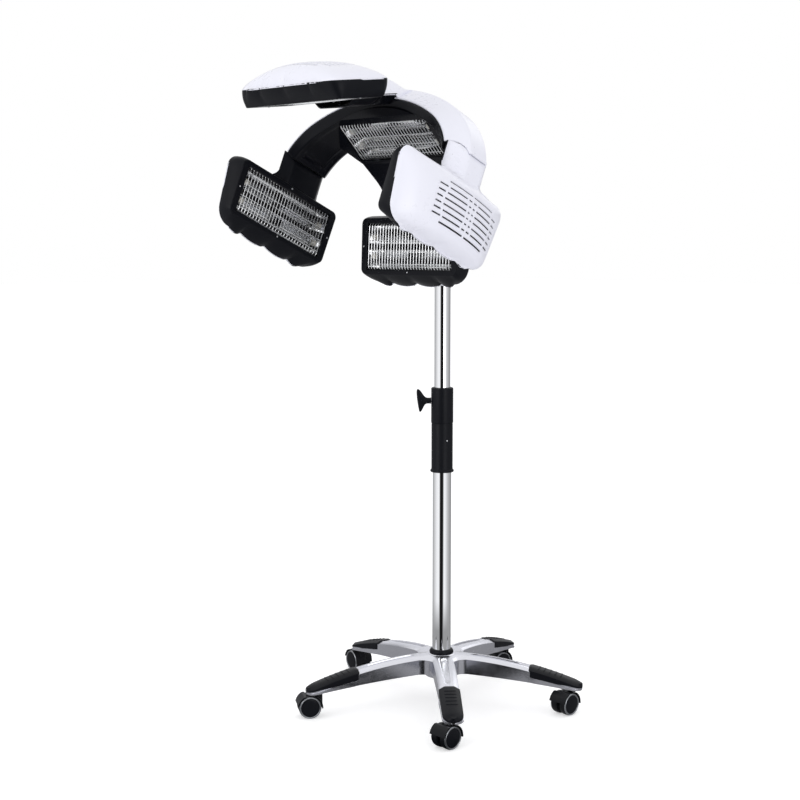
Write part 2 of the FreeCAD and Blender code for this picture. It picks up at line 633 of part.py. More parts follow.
def octagon_half(out_sign, bevel, inset=0.0):
    """Return half of an arm's section as (across, outward) points from the parting plane."""
    half, depth = NECK_HALF_W - inset, bevel - inset
    flat = half - depth
    return [(-half, 0), (-flat, out_sign * depth), (flat, out_sign * depth), (half, 0)]


def neck_prism(hinge, out_sign, low, high, inset=0.0):
    """Return one half of a neck as a prism along the panel's height."""
    bevel = NECK_OUT_BEVEL if out_sign > 0 else NECK_IN_BEVEL
    points = [V(hinge.shift + a, low, hinge.parting + n)
              for a, n in octagon_half(out_sign, bevel, inset)]
    return prism(polygon(points), V(0, high - low, 0))


class Hinge:
    """Where a panel's knuckle lies in the panel's own frame."""

    def __init__(self, shift, outward):
        self.shift = shift
        self.outward = outward
        self.at = RIM_HALF_H + NECK_RISE
        self.parting = outward + KNUCKLE_R - NECK_OUT_BEVEL

    def round_bar(self, radius, half=NECK_HALF_W + 1):
        """Return a round bar on the knuckle's axis."""
        return bar(radius, V(self.shift - half, self.at, self.outward),
                   V(self.shift + half, self.at, self.outward))

    def slab(self, half, b, n=(-70, 70)):
        """Return a box centred on the neck, between two heights above the knuckle's axis."""
        return box((self.shift - half, self.shift + half), (self.at + b[0], self.at + b[1]), n)


def neck_half(hinge, out_sign, low):
    """Return one half of the neck and its knuckle: outward +1, inward -1."""
    straight = neck_prism(hinge, out_sign, low, hinge.at)
    head = neck_prism(hinge, out_sign, hinge.at - 1, hinge.at + KNUCKLE_R)
    solid = straight.fuse(head.common(hinge.round_bar(KNUCKLE_R)))
    half_slot = TONGUE_W / 2 + SKIN_GAP
    pocket = hinge.round_bar(KNUCKLE_R - WALL, half_slot)
    mouth = hinge.slab(half_slot, (0, KNUCKLE_R + 1),
                       (hinge.outward - MOUTH_HALF, hinge.outward + MOUTH_HALF))
    return solid.cut(pocket).cut(mouth).cut(hinge.round_bar(PIN_R + SLIDE_FIT))


def vent_cutters(shift):
    """Return the slots that are cut through the flat middle of a panel's cover."""
    slots = []
    middle = (VENT_ROWS - 1) / 2
    for row in range(VENT_ROWS):
        b = (middle - row) * VENT_PITCH
        reach = VENT_EDGE_HALF if row in (0, VENT_ROWS - 1) else VENT_HALF_W
        for sign in (-1, 1):
            a = sorted((shift + sign * VENT_GAP / 2, shift + sign * reach))
            slots.append(box(a, (b - VENT_W / 2, b + VENT_W / 2), (VENT_CUT_LOW, DOME_RISE + 1)))
    return Part.makeCompound(slots)


def make_cover(hinge):
    """Return a panel's white cover: crowned shell, vents and the outer half of the neck."""
    neck = neck_half(hinge, 1, RIM_HALF_H - 26)
    neck = neck.cut(box((-200, 200), (0, RIM_HALF_H), (-70, 0)))
    shell = dome_block().fuse(neck).cut(dome_block(WALL, -1.0))
    return shell.cut(vent_cutters(hinge.shift))


def make_housing(hinge):
    """Return a panel's black housing: scalloped tray, bezel and inner half of the neck."""
    tray = housing_block().cut(housing_block(WALL, 1.0, -HOUSING_DEPTH + WALL))
    body = tray.fuse(neck_half(hinge, -1, FACE_TOP - 3))
    window = box((-GRILLE_W / 2, GRILLE_W / 2),
                 (GRILLE_MID - GRILLE_H / 2, GRILLE_MID + GRILLE_H / 2), (-60, -20))
    return body.cut(window)


def make_guard():
    """Return the flat wire guard of a heater in its frame."""
    w, h = GRILLE_W / 2, GRILLE_H / 2
    floor = -HOUSING_DEPTH - GUARD_PROUD
    plate = box((-w, w), (-h, h), (floor, floor + WIRE_D))
    pitch = (GRILLE_W - 2 * GUARD_FLANGE + WIRE_D) / (WIRE_COUNT + 1)
    gaps = []
    for i in range(WIRE_COUNT + 1):
        x = -w + GUARD_FLANGE + i * pitch
        gaps.append(box((x, x + pitch - WIRE_D), (-h + GUARD_FLANGE, h - GUARD_FLANGE),
                        (floor - 1, floor + 3)))
    guard = plate.cut(Part.makeCompound(gaps))
    guard.translate(V(0, GRILLE_MID, 0))
    return guard


def make_reflector():
    """Return the folded polished reflector behind the lamps."""
    h = GRILLE_H / 2 - 1.5
    top = -HOUSING_DEPTH + WALL
    deep = top + REFLECTOR_DEEP
    ridge = deep - 9

    def fold(lift):
        return [(-h - lift * 0.4, top), (-h * 0.72, deep + lift - 4), (-h * 0.34, deep + lift),
                (0, ridge + lift), (h * 0.34, deep + lift), (h * 0.72, deep + lift - 4),
                (h + lift * 0.4, top)]
    outline = fold(REFLECTOR_SHEET) + list(reversed(fold(0.0)))
    half = GRILLE_W / 2 - 1.5
    sheet = prism(polygon([V(-half, y, z) for y, z in outline]), V(2 * half, 0, 0))
    inside = polygon([V(-half, y, z) for y, z in fold(0.0)])
    for x in (-half, half - REFLECTOR_SHEET):
        end = prism(inside, V(REFLECTOR_SHEET, 0, 0))
        end.translate(V(x + half, 0, 0))
        sheet = sheet.fuse(end)
    lip = REFLECTOR_LIP
    flange = box((-half - lip, half + lip), (-h - lip, h + lip), (top, top + REFLECTOR_SHEET))
    flange = flange.cut(box((-half, half), (-h, h), (top - 1, top + 5)))
    sheet = sheet.fuse(flange)
    sheet.translate(V(0, GRILLE_MID, 0))
    return sheet


def make_lamps():
    """Return two quartz lamps with their ceramic end holders and the middle support."""
    half = GRILLE_W / 2 - 1.5 - REFLECTOR_SHEET
    z = lamp_height()
    top = -HOUSING_DEPTH + WALL
    pieces = []
    for sign in (-1, 1):
        y = GRILLE_MID + sign * LAMP_PITCH / 2
        tube = rod(LAMP_R, V(-half + LAMP_END_W, y, z), V(half - LAMP_END_W, y, z), 8)
        for end in (-1, 1):
            x = sorted((end * half, end * (half - LAMP_END_W)))
            tube = tube.fuse(box(x, (y - 8, y + 8), (z - 7, z + 7)))
        pieces.append(tube)
    middle = box((-5, 5), (GRILLE_MID - LAMP_PITCH / 2 - 8, GRILLE_MID + LAMP_PITCH / 2 + 8),
                 (z - 7, z + 7))
    pair = pieces[0].fuse(pieces[1]).fuse(middle)
    stalk_top = top + REFLECTOR_DEEP - 9
    return pair.fuse(box((-5, 5), (GRILLE_MID - 3, GRILLE_MID + 3), (z, stalk_top)))


def lamp_height():
    """Return the lamps' height in the panel's frame."""
    return -HOUSING_DEPTH + WALL + 13.0


# ================================================================ head frame
def arch_frame():
    """Return the arch's placement: x across, y up the leaned plane, z toward the client."""
    lean = math.radians(HEAD_LEAN_DEG)
    return frame_at(V(0, ARCH_Y, ARCH_Z), V(1, 0, 0), V(0, math.sin(lean), math.cos(lean)))


def arch_wire(offset, depth, foot):
    """Return the closed three-centre arch outline, offset outward, at a depth behind the front."""
    turn = math.radians(ARCH_SHOULDER_DEG)
    small = ARCH_SHOULDER_R + offset
    toe = ARCH_SHOULDER_X + small

    def shoulder(sign, angle):
        across = ARCH_SHOULDER_X + small * math.cos(angle)
        return V(sign * across, small * math.sin(angle), -depth)
    crown = V(0, arch_top_centre() + arch_top_radius() + offset, -depth)
    right, left = shoulder(1, turn), shoulder(-1, turn)
    return Part.Wire([line(V(toe, foot, -depth), shoulder(1, 0)),
                      arc3(shoulder(1, 0), shoulder(1, turn / 2), right), arc3(right, crown, left),
                      arc3(left, shoulder(-1, turn / 2), shoulder(-1, 0)),
                      line(shoulder(-1, 0), V(-toe, foot, -depth)),
                      line(V(-toe, foot, -depth), V(toe, foot, -depth))])


def arch_top_centre():
    """Return the height of the top arc's centre on the arch's plane."""
    return -ARCH_SHOULDER_X * math.tan(math.radians(ARCH_SHOULDER_DEG))


def arch_top_radius():
    """Return the top arc's radius, which runs smoothly into the shoulders."""
    return ARCH_SHOULDER_R + ARCH_SHOULDER_X / math.cos(math.radians(ARCH_SHOULDER_DEG))


def arch_fill(offset, start, end, foot=-200.0):
    """Return the solid under the arch at one offset, between two depths."""
    wire = arch_wire(offset, start, foot)
    return placed(prism(wire, V(0, 0, start - end)), arch_frame())


def arch_sweep(section, foot=-20.0):
    """Return the solid that an (offset, depth) section sweeps along the arch."""
    turn = ARCH_SHOULDER_DEG
    start = ARCH_SHOULDER_X + ARCH_SHOULDER_R
    face = Part.Face(polygon([V(start + offset, 0, -depth) for offset, depth in section]))
    axis = V(0, 0, 1)
    shoulder = face.revolve(V(ARCH_SHOULDER_X, 0, 0), axis, turn)
    high = face.copy()
    high.rotate(V(ARCH_SHOULDER_X, 0, 0), axis, turn)
    top = high.revolve(V(0, arch_top_centre(), 0), axis, 180 - 2 * turn)
    leg = face.extrude(V(0, foot, 0))
    side = shoulder.fuse(leg)
    other = side.mirror(V(0, 0, 0), V(1, 0, 0))
    return placed(top.fuse(side).fuse(other).removeSplitter(), arch_frame())


def cover_outline(inset=0.0):
    """Return the arch cover's beveled outline as (offset, depth) points, front to back."""
    run = ARCH_OUT
    return [(-inset, 0), (ARCH_OUT - inset, run), (ARCH_OUT - inset, ARCH_DEPTH - run),
            (-inset, ARCH_DEPTH)]


def liner_outline(lift=0.0):
    """Return the arch liner's beveled outline as (offset, depth) points, front to back."""
    run = ARCH_IN - 2 * WALL
    return [(-2 * WALL + lift, 0), (-ARCH_IN + lift, run), (-ARCH_IN + lift, ARCH_DEPTH - run),
            (-2 * WALL + lift, ARCH_DEPTH)]


def space_outline(near, lip):
    """Return the outline of the room between cover and liner, a lip short of their edges."""
    outer, inner = cover_outline(near), liner_outline(near)
    back = ARCH_DEPTH - lip
    return ([(lip - near, lip)] + outer[1:3] + [(lip - near, back), (near - 2 * WALL - lip, back)]
            + inner[2:0:-1] + [(near - 2 * WALL - lip, lip)])


def rear_dome(inset=0.0):
    """Return the domed back that follows the arch and closes in toward the mast."""
    wires = [arch_wire(offset - inset, ARCH_DEPTH + depth, -300) for depth, offset in REAR_STEPS]
    return placed(Part.makeLoft(wires, True, True), arch_frame())


def side_outline(points, inset):
    """Return a closed outline in the YZ plane, drawn in from the points by an inset."""
    wire = polygon([V(0, y, z) for y, z in points])
    if not inset:
        return wire
    return wire.makeOffset2D(-inset)


def spine_block(inset=0.0):
    """Return the body between the crown and the mast's socket, smaller by an inset."""
    knuckle_front = REAR_PANEL_Y + KNUCKLE_OUT - KNUCKLE_R
    knuckle_back = REAR_PANEL_Y + KNUCKLE_OUT + KNUCKLE_R
    lip = rear_hinge_height() + KNUCKLE_LIP
    side = side_outline([(knuckle_front, lip), (SPINE_FRONT_Y, SPINE_FRONT_Z),
                         (HOOD_LIP_Y, HOOD_LIP_Z), (HOOD_LIP_Y + 6, ARCH_Z + 260),
                         (SPINE_BACK_Y, ARCH_Z + 260), (SPINE_BACK_Y, SOCKET_LOW),
                         (SPINE_WAIST_Y, SOCKET_LOW), (SPINE_WAIST_Y, lip), (knuckle_back, lip)],
                        inset)
    block = prism(side, V(600, 0, 0))
    block.translate(V(-300, 0, 0))
    low, high = SPINE_LOW_HALF - inset, SPINE_HIGH_HALF - inset
    funnel = rounded([(-low, SOCKET_LOW - 40), (low, SOCKET_LOW - 40), (low, SPINE_FLARE_LOW),
                      (high, SPINE_FLARE_HIGH), (high, ARCH_Z + 300), (-high, ARCH_Z + 300),
                      (-high, SPINE_FLARE_HIGH), (-low, SPINE_FLARE_LOW)],
                     [5, 5, 120, 60, 5, 5, 60, 120])
    flare = prism(funnel, V(0, 0, 800))
    flare = placed(flare, frame_at(V(0, 400, 0), V(1, 0, 0), V(0, 0, 1)))
    under = arch_fill(-ARCH_IN - SEAT_GAP - inset, -5, ARCH_DEPTH)
    return block.common(flare).common(under.fuse(rear_dome(inset))).common(prow(inset))


def prow(inset):
    """Return the plan outline that narrows the back toward the mast, as an upright prism."""
    half = SPINE_HIGH_HALF - inset
    tip = PROW_TIP_HALF - inset * 0.4
    back = SPINE_BACK_Y - inset
    outline = [V(half, -500, 900), V(half, PROW_Y, 900), V(tip, back, 900), V(-tip, back, 900),
               V(-half, PROW_Y, 900), V(-half, -500, 900)]
    return prism(polygon(outline), V(0, 0, 700))


def rear_hinge_height():
    """Return the height of the rear knuckle's axis."""
    return rear_panel_frame().multVec(V(0, RIM_HALF_H + NECK_RISE, KNUCKLE_OUT)).z


def split_tool():
    """Return everything in front of the joint between the black hood and the white back."""
    parting = REAR_PANEL_Y + KNUCKLE_OUT + KNUCKLE_R - NECK_OUT_BEVEL
    edge_low = arch_frame().multVec(V(0, SPLIT_T, -ARCH_DEPTH))
    edge_high = arch_frame().multVec(V(0, 300, -ARCH_DEPTH))
    outline = [(-500, 900), (parting, 900), (parting, rear_hinge_height() + 22),
               (edge_low.y, edge_low.z), (edge_high.y, edge_high.z), (-500, edge_high.z)]
    tool = prism(polygon([V(0, y, z) for y, z in outline]), V(700, 0, 0))
    tool.translate(V(-350, 0, 0))
    return tool


# ---------------------------------------------------------------- places of the panels
def side_panel_frame(sign):
    """Return the placement of a side panel: +1 the client's left, -1 the right."""
    arch = arch_frame()
    up = arch.Rotation.multVec(V(0, 1, 0))
    out = V(sign, 0, 0)
    across = up.cross(out)
    hinge_t = SIDE_KNUCKLE_T - NECK_RISE - RIM_HALF_H
    hinge_x = SIDE_KNUCKLE_X - KNUCKLE_OUT
    depth = ARCH_DEPTH / 2 - SIDE_NECK_SHIFT
    centre = arch.multVec(V(sign * hinge_x, hinge_t, -depth))
    return frame_at(centre, across, up)


def rear_panel_frame():
    """Return the placement of the rear panel."""
    lean = math.radians(REAR_PANEL_LEAN)
    return frame_at(V(0, REAR_PANEL_Y, REAR_PANEL_Z), V(-1, 0, 0),
                    V(0, math.sin(lean), math.cos(lean)))


def front_panel_frame():
    """Return the placement of the front panel."""
    tilt = math.radians(FRONT_PANEL_TILT)
    return frame_at(V(0, FRONT_PANEL_Y, FRONT_PANEL_Z), V(1, 0, 0),
                    V(0, math.cos(tilt), math.sin(tilt)))


def crown_heater_frame():
    """Return the placement of the crown's heater, in a panel's own coordinates."""
    slope = math.radians(CROWN_SLOPE_DEG)
    up = V(0, -math.cos(slope), math.sin(slope))
    out = V(-1, 0, 0).cross(up)
    face = V(0, CROWN_FACE_Y, CROWN_FACE_Z)
    origin = face.sub(V(up).multiply(GRILLE_MID)).add(V(out).multiply(HOUSING_DEPTH))
    return frame_at(origin, V(-1, 0, 0), up)


def panel_places():
    """Return each panel's placement and hinge by its name."""
    return {"left": (side_panel_frame(1), Hinge(SIDE_NECK_SHIFT, KNUCKLE_OUT)),
            "right": (side_panel_frame(-1), Hinge(-SIDE_NECK_SHIFT, KNUCKLE_OUT)),
            "rear": (rear_panel_frame(), Hinge(0.0, KNUCKLE_OUT)),
            "front": (front_panel_frame(), Hinge(0.0, FRONT_KNUCKLE_OUT))}


def knuckle_clearance(reach=200.0):
    """Return the tool that opens every arm's end for its knuckle and neck."""
    tool = None
    for place, hinge in panel_places().values():
        half = NECK_HALF_W + 8
        seat = hinge.round_bar(KNUCKLE_R + SKIN_GAP, half)
        below = hinge.slab(half + 10, (-reach, KNUCKLE_LIP), (-60, 60))
        shape = placed(seat.fuse(below), place)
        tool = shape if tool is None else tool.fuse(shape)
    return tool


def front_neck(out_sign, inset=0.0):
    """Return one half of the fixed neck between the crown and the front knuckle."""
    place, hinge = panel_places()["front"]
    low = hinge.at + KNUCKLE_LIP + inset
    return placed(neck_prism(hinge, out_sign, low, hinge.at + FRONT_NECK_LEN, inset), place)


def make_knuckle_blocks():
    """Return the four blocks whose tongues carry the pivot pins inside the knuckles."""
    near = WALL + SEAT_GAP
    arm_space = arch_sweep(space_outline(near, 4))
    spaces = {"left": arm_space, "right": arm_space,
              "rear": spine_block(near), "front": front_neck(1, near).fuse(front_neck(-1, near))}
    blocks = []
    for name, (place, hinge) in panel_places().items():
        body = hinge.slab(NECK_HALF_W, (KNUCKLE_LIP + SEAT_GAP, KNUCKLE_LIP + BLOCK_LEN),
                          (hinge.outward - BLOCK_HALF, hinge.outward + BLOCK_HALF))
        body = placed(body, place).common(spaces[name])
        body = body.cut(placed(hinge.round_bar(KNUCKLE_R + SKIN_GAP), place))
        tongue = hinge.slab(TONGUE_W / 2, (0, KNUCKLE_LIP + BLOCK_LEN * 0.6),
                            (hinge.outward - TONGUE_R, hinge.outward + TONGUE_R))
        tongue = tongue.fuse(hinge.round_bar(TONGUE_R, TONGUE_W / 2))
        tongue = placed(tongue, place)
        whole = body.fuse(tongue).cut(placed(hinge.round_bar(PIN_R), place))
        blocks.append(whole)
    return blocks


def make_pivot_pins():
    """Return the four steel pivot pins."""
    return [placed(hinge.round_bar(PIN_R, PIN_HALF), place)
            for place, hinge in panel_places().values()]


def heater_cavity():
    """Return the pocket that takes the crown's reflector, in place."""
    w, h = GRILLE_W / 2, GRILLE_H / 2
    back = -HOUSING_DEPTH + WALL
    window = box((-w, w), (GRILLE_MID - h, GRILLE_MID + h), (-HOUSING_DEPTH - 60, back + 1))
    w, h = w + REFLECTOR_LIP, h + REFLECTOR_LIP
    room = box((-w, w), (GRILLE_MID - h, GRILLE_MID + h), (back, back + REFLECTOR_DEEP + 8))
    return placed(window.fuse(room), crown_heater_frame())


def socket_space():
    """Return the room that the head's socket takes up."""
    return lathe([(SOCKET_R, SOCKET_LOW - 5), (SOCKET_R, MAST_TOP + 8)])


def arch_body():
    """Return the arch's whole outer body, which the fixed front neck ends on."""
    return arch_sweep(cover_outline() + [(-ARCH_IN, ARCH_DEPTH), (-ARCH_IN, 0)])


def make_crown_cover(clearance):
    """Return the white arch cover with the outer half of the front neck."""
    shell = arch_sweep(cover_outline() + cover_outline(WALL)[::-1])
    neck = front_neck(1).cut(arch_body()).cut(front_block_space())
    return shell.fuse(near_part(neck)).cut(clearance)


def make_crown_liner(clearance):
    """Return the black arch liner with the inner half of the front neck."""
    shell = arch_sweep(liner_outline(WALL) + liner_outline()[::-1])
    bevel = arch_sweep([(0, -2 * SEAT_GAP), (ARCH_OUT, ARCH_OUT - 2 * SEAT_GAP),
                        (ARCH_OUT, ARCH_OUT + 1), (0, 1)])
    neck = front_neck(-1).cut(arch_body()).cut(bevel).cut(front_block_space())
    return shell.fuse(near_part(neck)).cut(clearance).cut(heater_cavity())


def near_part(shape):
    """Return the piece of a cut neck that lies toward the client."""
    return min(shape.Solids, key=lambda solid: solid.CenterOfMass.y)


def front_block_space():
    """Return the hollow inside the front neck, which takes its knuckle block."""
    place, hinge = panel_places()["front"]
    space = front_neck(1, WALL).fuse(front_neck(-1, WALL))
    return space.common(placed(hinge.slab(NECK_HALF_W, (0, NECK_HOLLOW)), place))


def make_crown_hood(clearance):
    """Return the black hood under the crown, open for the heater."""
    front = spine_block().common(split_tool())
    hollow = spine_block(WALL)
    bezel_keep = placed(box((-200, 200), (-90, 80), (-HOUSING_DEPTH, -HOUSING_DEPTH + WALL)),
                        crown_heater_frame())
    front = front.cut(hollow.cut(bezel_keep)).cut(heater_cavity()).cut(clearance)
    return front.cut(front_neck(-1))


def make_rear_cover(clearance):
    """Return the white back with its control recess and the mast's hole."""
    back = spine_block().cut(split_tool())
    back = back.cut(spine_block(WALL)).cut(clearance)
    return back.cut(socket_space()).cut(control_recess()).cut(gland_bore())


def control_recess():
    """Return the opening in the back that the control plate fills."""
    return box((-PLATE_W / 2, PLATE_W / 2), (SPINE_BACK_Y - WALL - 1, SPINE_BACK_Y + 1),
               (PLATE_Z - PLATE_H / 2, PLATE_Z + PLATE_H / 2))


def gland_bore():
    """Return the hole for the mains cord's gland."""
    return rod(GLAND_BODY_R, V(0, SPINE_BACK_Y - 10, GLAND_Z), V(0, SPINE_BACK_Y + 5, GLAND_Z), 12)


def make_head_socket():
    """Return the cast socket that turns on the mast's top."""
    bore_top = MAST_TOP + SEAT_GAP
    body = lathe([(SOCKET_COLLAR_R, SOCKET_LOW - SOCKET_COLLAR_H), (SOCKET_COLLAR_R, SOCKET_LOW)])
    body = body.fuse(lathe([(SOCKET_R, SOCKET_LOW), (SOCKET_R, bore_top + 5)]))
    return body.cut(disc(UPPER_TUBE_R + SLIDE_FIT, SOCKET_LOW - SOCKET_COLLAR_H - 1, bore_top))


def make_control_plate():
    """Return the dark control plate with its window, key and switch openings."""
    low = SPINE_BACK_Y - WALL
    plate = box((-PLATE_W / 2, PLATE_W / 2), (low, SPINE_BACK_Y + 0.6),
                (PLATE_Z - PLATE_H / 2, PLATE_Z + PLATE_H / 2))
    plate = plate.makeFillet(2.0, [e for e in plate.Edges if abs(e.tangentAt(0).y) > 0.9])
    plate = plate.cut(box((-WINDOW_W / 2, WINDOW_W / 2), (low - 1, SPINE_BACK_Y + 2),
                          (WINDOW_Z - WINDOW_H / 2, WINDOW_Z + WINDOW_H / 2)))
    for x in KEY_X:
        plate = plate.cut(rod(KEY_R + SKIN_GAP, V(x, low - 1, KEY_Z),
                              V(x, SPINE_BACK_Y + 2, KEY_Z), 16))
    gap = SKIN_GAP
    half = ROCKER_W / 2 + gap
    return plate.cut(box((ROCKER_X - half, ROCKER_X + half), (low - 1, SPINE_BACK_Y + 2),
                         (ROCKER_Z - ROCKER_H / 2 - gap, ROCKER_Z + ROCKER_H / 2 + gap)))


def make_display_window():
    """Return the clear window over the timer's digits."""
    return box((-WINDOW_W / 2, WINDOW_W / 2), (SPINE_BACK_Y - WALL, SPINE_BACK_Y + 0.9),
               (WINDOW_Z - WINDOW_H / 2, WINDOW_Z + WINDOW_H / 2))


def make_key(x):
    """Return one push key with the flange that keeps it behind the plate."""
    back = SPINE_BACK_Y - WALL - KEY_TRAVEL - 0.5
    return rod(KEY_R, V(x, back, KEY_Z), V(x, SPINE_BACK_Y + 2.6, KEY_Z), 16)


def make_key_board():
    """Return the circuit board that the keys, switch and window stand on."""
    front = SPINE_BACK_Y - WALL - KEY_TRAVEL - 0.5 - SEAT_GAP - KEY_TRAVEL
    board = box((-PLATE_W / 2 + 2, PLATE_W / 2 - 2), (front - 1.6, front),
                (PLATE_Z - PLATE_H / 2 + 2, PLATE_Z + PLATE_H / 2 - 2))
    for x in (-PLATE_W / 2 + 5, PLATE_W / 2 - 5):
        for z in (PLATE_Z - PLATE_H / 2 + 6, PLATE_Z + PLATE_H / 2 - 6):
            board = board.fuse(box((x - 2, x + 2), (front, SPINE_BACK_Y - WALL), (z - 2, z + 2)))
    return board


def make_rocker():
    """Return the mains rocker switch's paddle."""
    half, x = ROCKER_H / 2, ROCKER_X - ROCKER_W / 2
    low = SPINE_BACK_Y - WALL - 2
    outline = [(low, -half), (SPINE_BACK_Y + 3.4, -half), (SPINE_BACK_Y + 1.2, 0),
               (SPINE_BACK_Y + 0.6, half), (low, half)]
    return prism(polygon([V(x, y, ROCKER_Z + z) for y, z in outline]), V(ROCKER_W, 0, 0))


def make_cord_gland():
    """Return the moulded gland that the mains cord would leave by."""
    start, end = V(0, SPINE_BACK_Y - 8, GLAND_Z), V(0, SPINE_BACK_Y + 12, GLAND_Z)
    gland = rod(GLAND_BODY_R, start, end, 12)
    gland = gland.fuse(rod(GLAND_BODY_R + 3, V(0, SPINE_BACK_Y, GLAND_Z),
                           V(0, SPINE_BACK_Y + 3, GLAND_Z), 12))
    bore = bar(GLAND_R, V(0, SPINE_BACK_Y - 9, GLAND_Z), V(0, SPINE_BACK_Y + 13, GLAND_Z))
    return gland.cut(bore)


def main():
    """Build every sub-part and write its file."""
    os.makedirs("parts", exist_ok=True)
    save("star_base", make_star_base())
    foot = make_foot_cover()
    save("foot_covers", *[turned(foot, LEG_FIRST_DEG + i * 360 / LEG_COUNT)
                          for i in range(LEG_COUNT)])
    housing, wheels = make_caster_housing(), make_caster_wheels()
    for i in range(LEG_COUNT):
        save("caster_housing_%d" % (i + 1), placed(housing, caster_place(i)))
        save("caster_wheels_%d" % (i + 1), placed(wheels, caster_place(i)))
    save("base_bolt", make_base_bolt())
    save("lower_tube", make_lower_tube())
    save("hub_ring", make_hub_ring())
    save("clamp_collar", make_clamp_collar())
    save("guide_bush", make_guide_bush())
    save("clamp_screw", make_clamp_screw())
    save("wing_knob", make_wing_knob())
    save("upper_tube", make_upper_tube())
    save("tube_foot", make_tube_foot())

    clearance = knuckle_clearance()
    save("head_socket", make_head_socket())
    save("crown_cover", make_crown_cover(clearance))
    save("crown_liner", make_crown_liner(clearance))
    save("crown_hood", make_crown_hood(clearance))
    save("rear_cover", make_rear_cover(clearance))
    save("knuckle_blocks", *make_knuckle_blocks())
    save("pivot_pins", *make_pivot_pins())
    save("control_plate", make_control_plate())
    save("display_window", make_display_window())
    save("control_board", make_key_board())
    for i, x in enumerate(KEY_X):
        save("key_%d" % (i + 1), make_key(x))
    save("rocker_switch", make_rocker())
    save("cord_gland", make_cord_gland())

    heater = {"reflector": make_reflector(), "lamps": make_lamps(), "guard": make_guard()}
    for name, shape in heater.items():
        save("crown_" + name, placed(shape, crown_heater_frame()))
    for name, (place, hinge) in panel_places().items():
        save(name + "_panel_cover", placed(make_cover(hinge), place))
        save(name + "_panel_housing", placed(make_housing(hinge), place))
        for piece, shape in heater.items():
            save(name + "_" + piece, placed(shape, place))


main()
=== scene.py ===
"""Hair color processor, dressed for rendering: a rolling stand with five infrared heaters.

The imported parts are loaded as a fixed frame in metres. Every sub-assembly is a class that holds
its sizes in millimetres, builds its pieces in its own axes, puts them in place and dresses them.
"""
import json
import logging
import math
from collections.abc import Callable, Sequence
from dataclasses import dataclass, field
from enum import Enum

import bmesh
import bpy
import numpy as np
from bpy.types import ID, Material, Mesh, Node, NodeSocket, NodeTree, Object
from mathutils import Matrix, Vector


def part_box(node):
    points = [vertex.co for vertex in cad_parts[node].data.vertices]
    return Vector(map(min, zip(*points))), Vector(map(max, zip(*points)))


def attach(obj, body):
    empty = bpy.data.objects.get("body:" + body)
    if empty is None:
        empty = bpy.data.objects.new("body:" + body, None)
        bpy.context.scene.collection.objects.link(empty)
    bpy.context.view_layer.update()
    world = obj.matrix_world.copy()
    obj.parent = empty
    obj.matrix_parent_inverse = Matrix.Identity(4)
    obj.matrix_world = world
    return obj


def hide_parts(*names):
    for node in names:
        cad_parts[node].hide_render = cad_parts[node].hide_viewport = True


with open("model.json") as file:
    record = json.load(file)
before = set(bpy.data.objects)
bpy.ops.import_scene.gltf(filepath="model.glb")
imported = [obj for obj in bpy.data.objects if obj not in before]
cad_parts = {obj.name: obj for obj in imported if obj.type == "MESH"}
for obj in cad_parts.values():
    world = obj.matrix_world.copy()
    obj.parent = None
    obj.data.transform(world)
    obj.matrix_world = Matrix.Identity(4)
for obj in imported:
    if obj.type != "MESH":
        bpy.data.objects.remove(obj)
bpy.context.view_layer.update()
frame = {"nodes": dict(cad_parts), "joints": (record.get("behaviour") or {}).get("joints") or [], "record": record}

log = logging.getLogger("hair_color_processor")

MM = 0.001
HALF_COLUMNS = 24
Row = list[Vector]


# ======== places
@dataclass(frozen=True)
class Place:
    """The axes of a sub-assembly in the row frame, in millimetres."""

    origin: Vector
    across: Vector
    up: Vector
    out: Vector

    def matrix(self) -> Matrix:
        """Return the transform from this place's axes to the row frame, in metres."""
        turn = Matrix((self.across, self.up, self.out)).transposed().to_4x4()
        turn.translation = self.origin * MM
        return turn

    def local(self, point: Vector) -> Vector:
        """Return a row-frame point in this place's own axes."""
        way = point - self.origin
        return Vector((way.dot(self.across), way.dot(self.up), way.dot(self.out)))

    def at(self, x: float, y: float, z: float) -> Vector:
        """Return the row-frame point at x, y, z of this place."""
        return self.origin + self.across * x + self.up * y + self.out * z


UPRIGHT = Place(Vector((0, 0, 0)), Vector((1, 0, 0)), Vector((0, 1, 0)), Vector((0, 0, 1)))
ORIGIN, X_AXIS, Y_AXIS, Z_AXIS = UPRIGHT.origin, UPRIGHT.across, UPRIGHT.up, UPRIGHT.out


def polar(radius: float, angle: float, height: float = 0.0) -> Vector:
    """Return the point at a radius and an angle about +z, in radians from +x."""
    return Vector((radius * math.cos(angle), radius * math.sin(angle), height))


def joint(name: str) -> dict:
    """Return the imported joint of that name."""
    return next(entry for entry in frame["joints"] if entry["name"] == name)


def anchor(name: str) -> Vector:
    """Return the point that a joint turns about, in millimetres."""
    return Vector(joint(name)["pos_m"]) / MM


def node_points(node: str) -> np.ndarray:
    """Return a CAD node's distinct points in millimetres."""
    points = np.array([vertex.co for vertex in frame["nodes"][node].data.vertices]) / MM
    return np.unique(points.round(3), axis=0)


def node_middle(node: str) -> Vector:
    """Return the middle of a CAD node's box in millimetres."""
    low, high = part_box(node)
    return (low + high) / 2 / MM


def smooth_step(value: float, start: float, end: float) -> float:
    """Return 0 before start, 1 after end and an even blend between them."""
    share = min(max((value - start) / (end - start), 0.0), 1.0)
    return share * share * (3 - 2 * share)


def smooth_max(first: float, second: float, reach: float) -> float:
    """Return the larger of two heights, blended where they differ by less than reach."""
    near = max(reach - abs(first - second), 0.0) / reach
    return max(first, second) + near * near * reach / 4


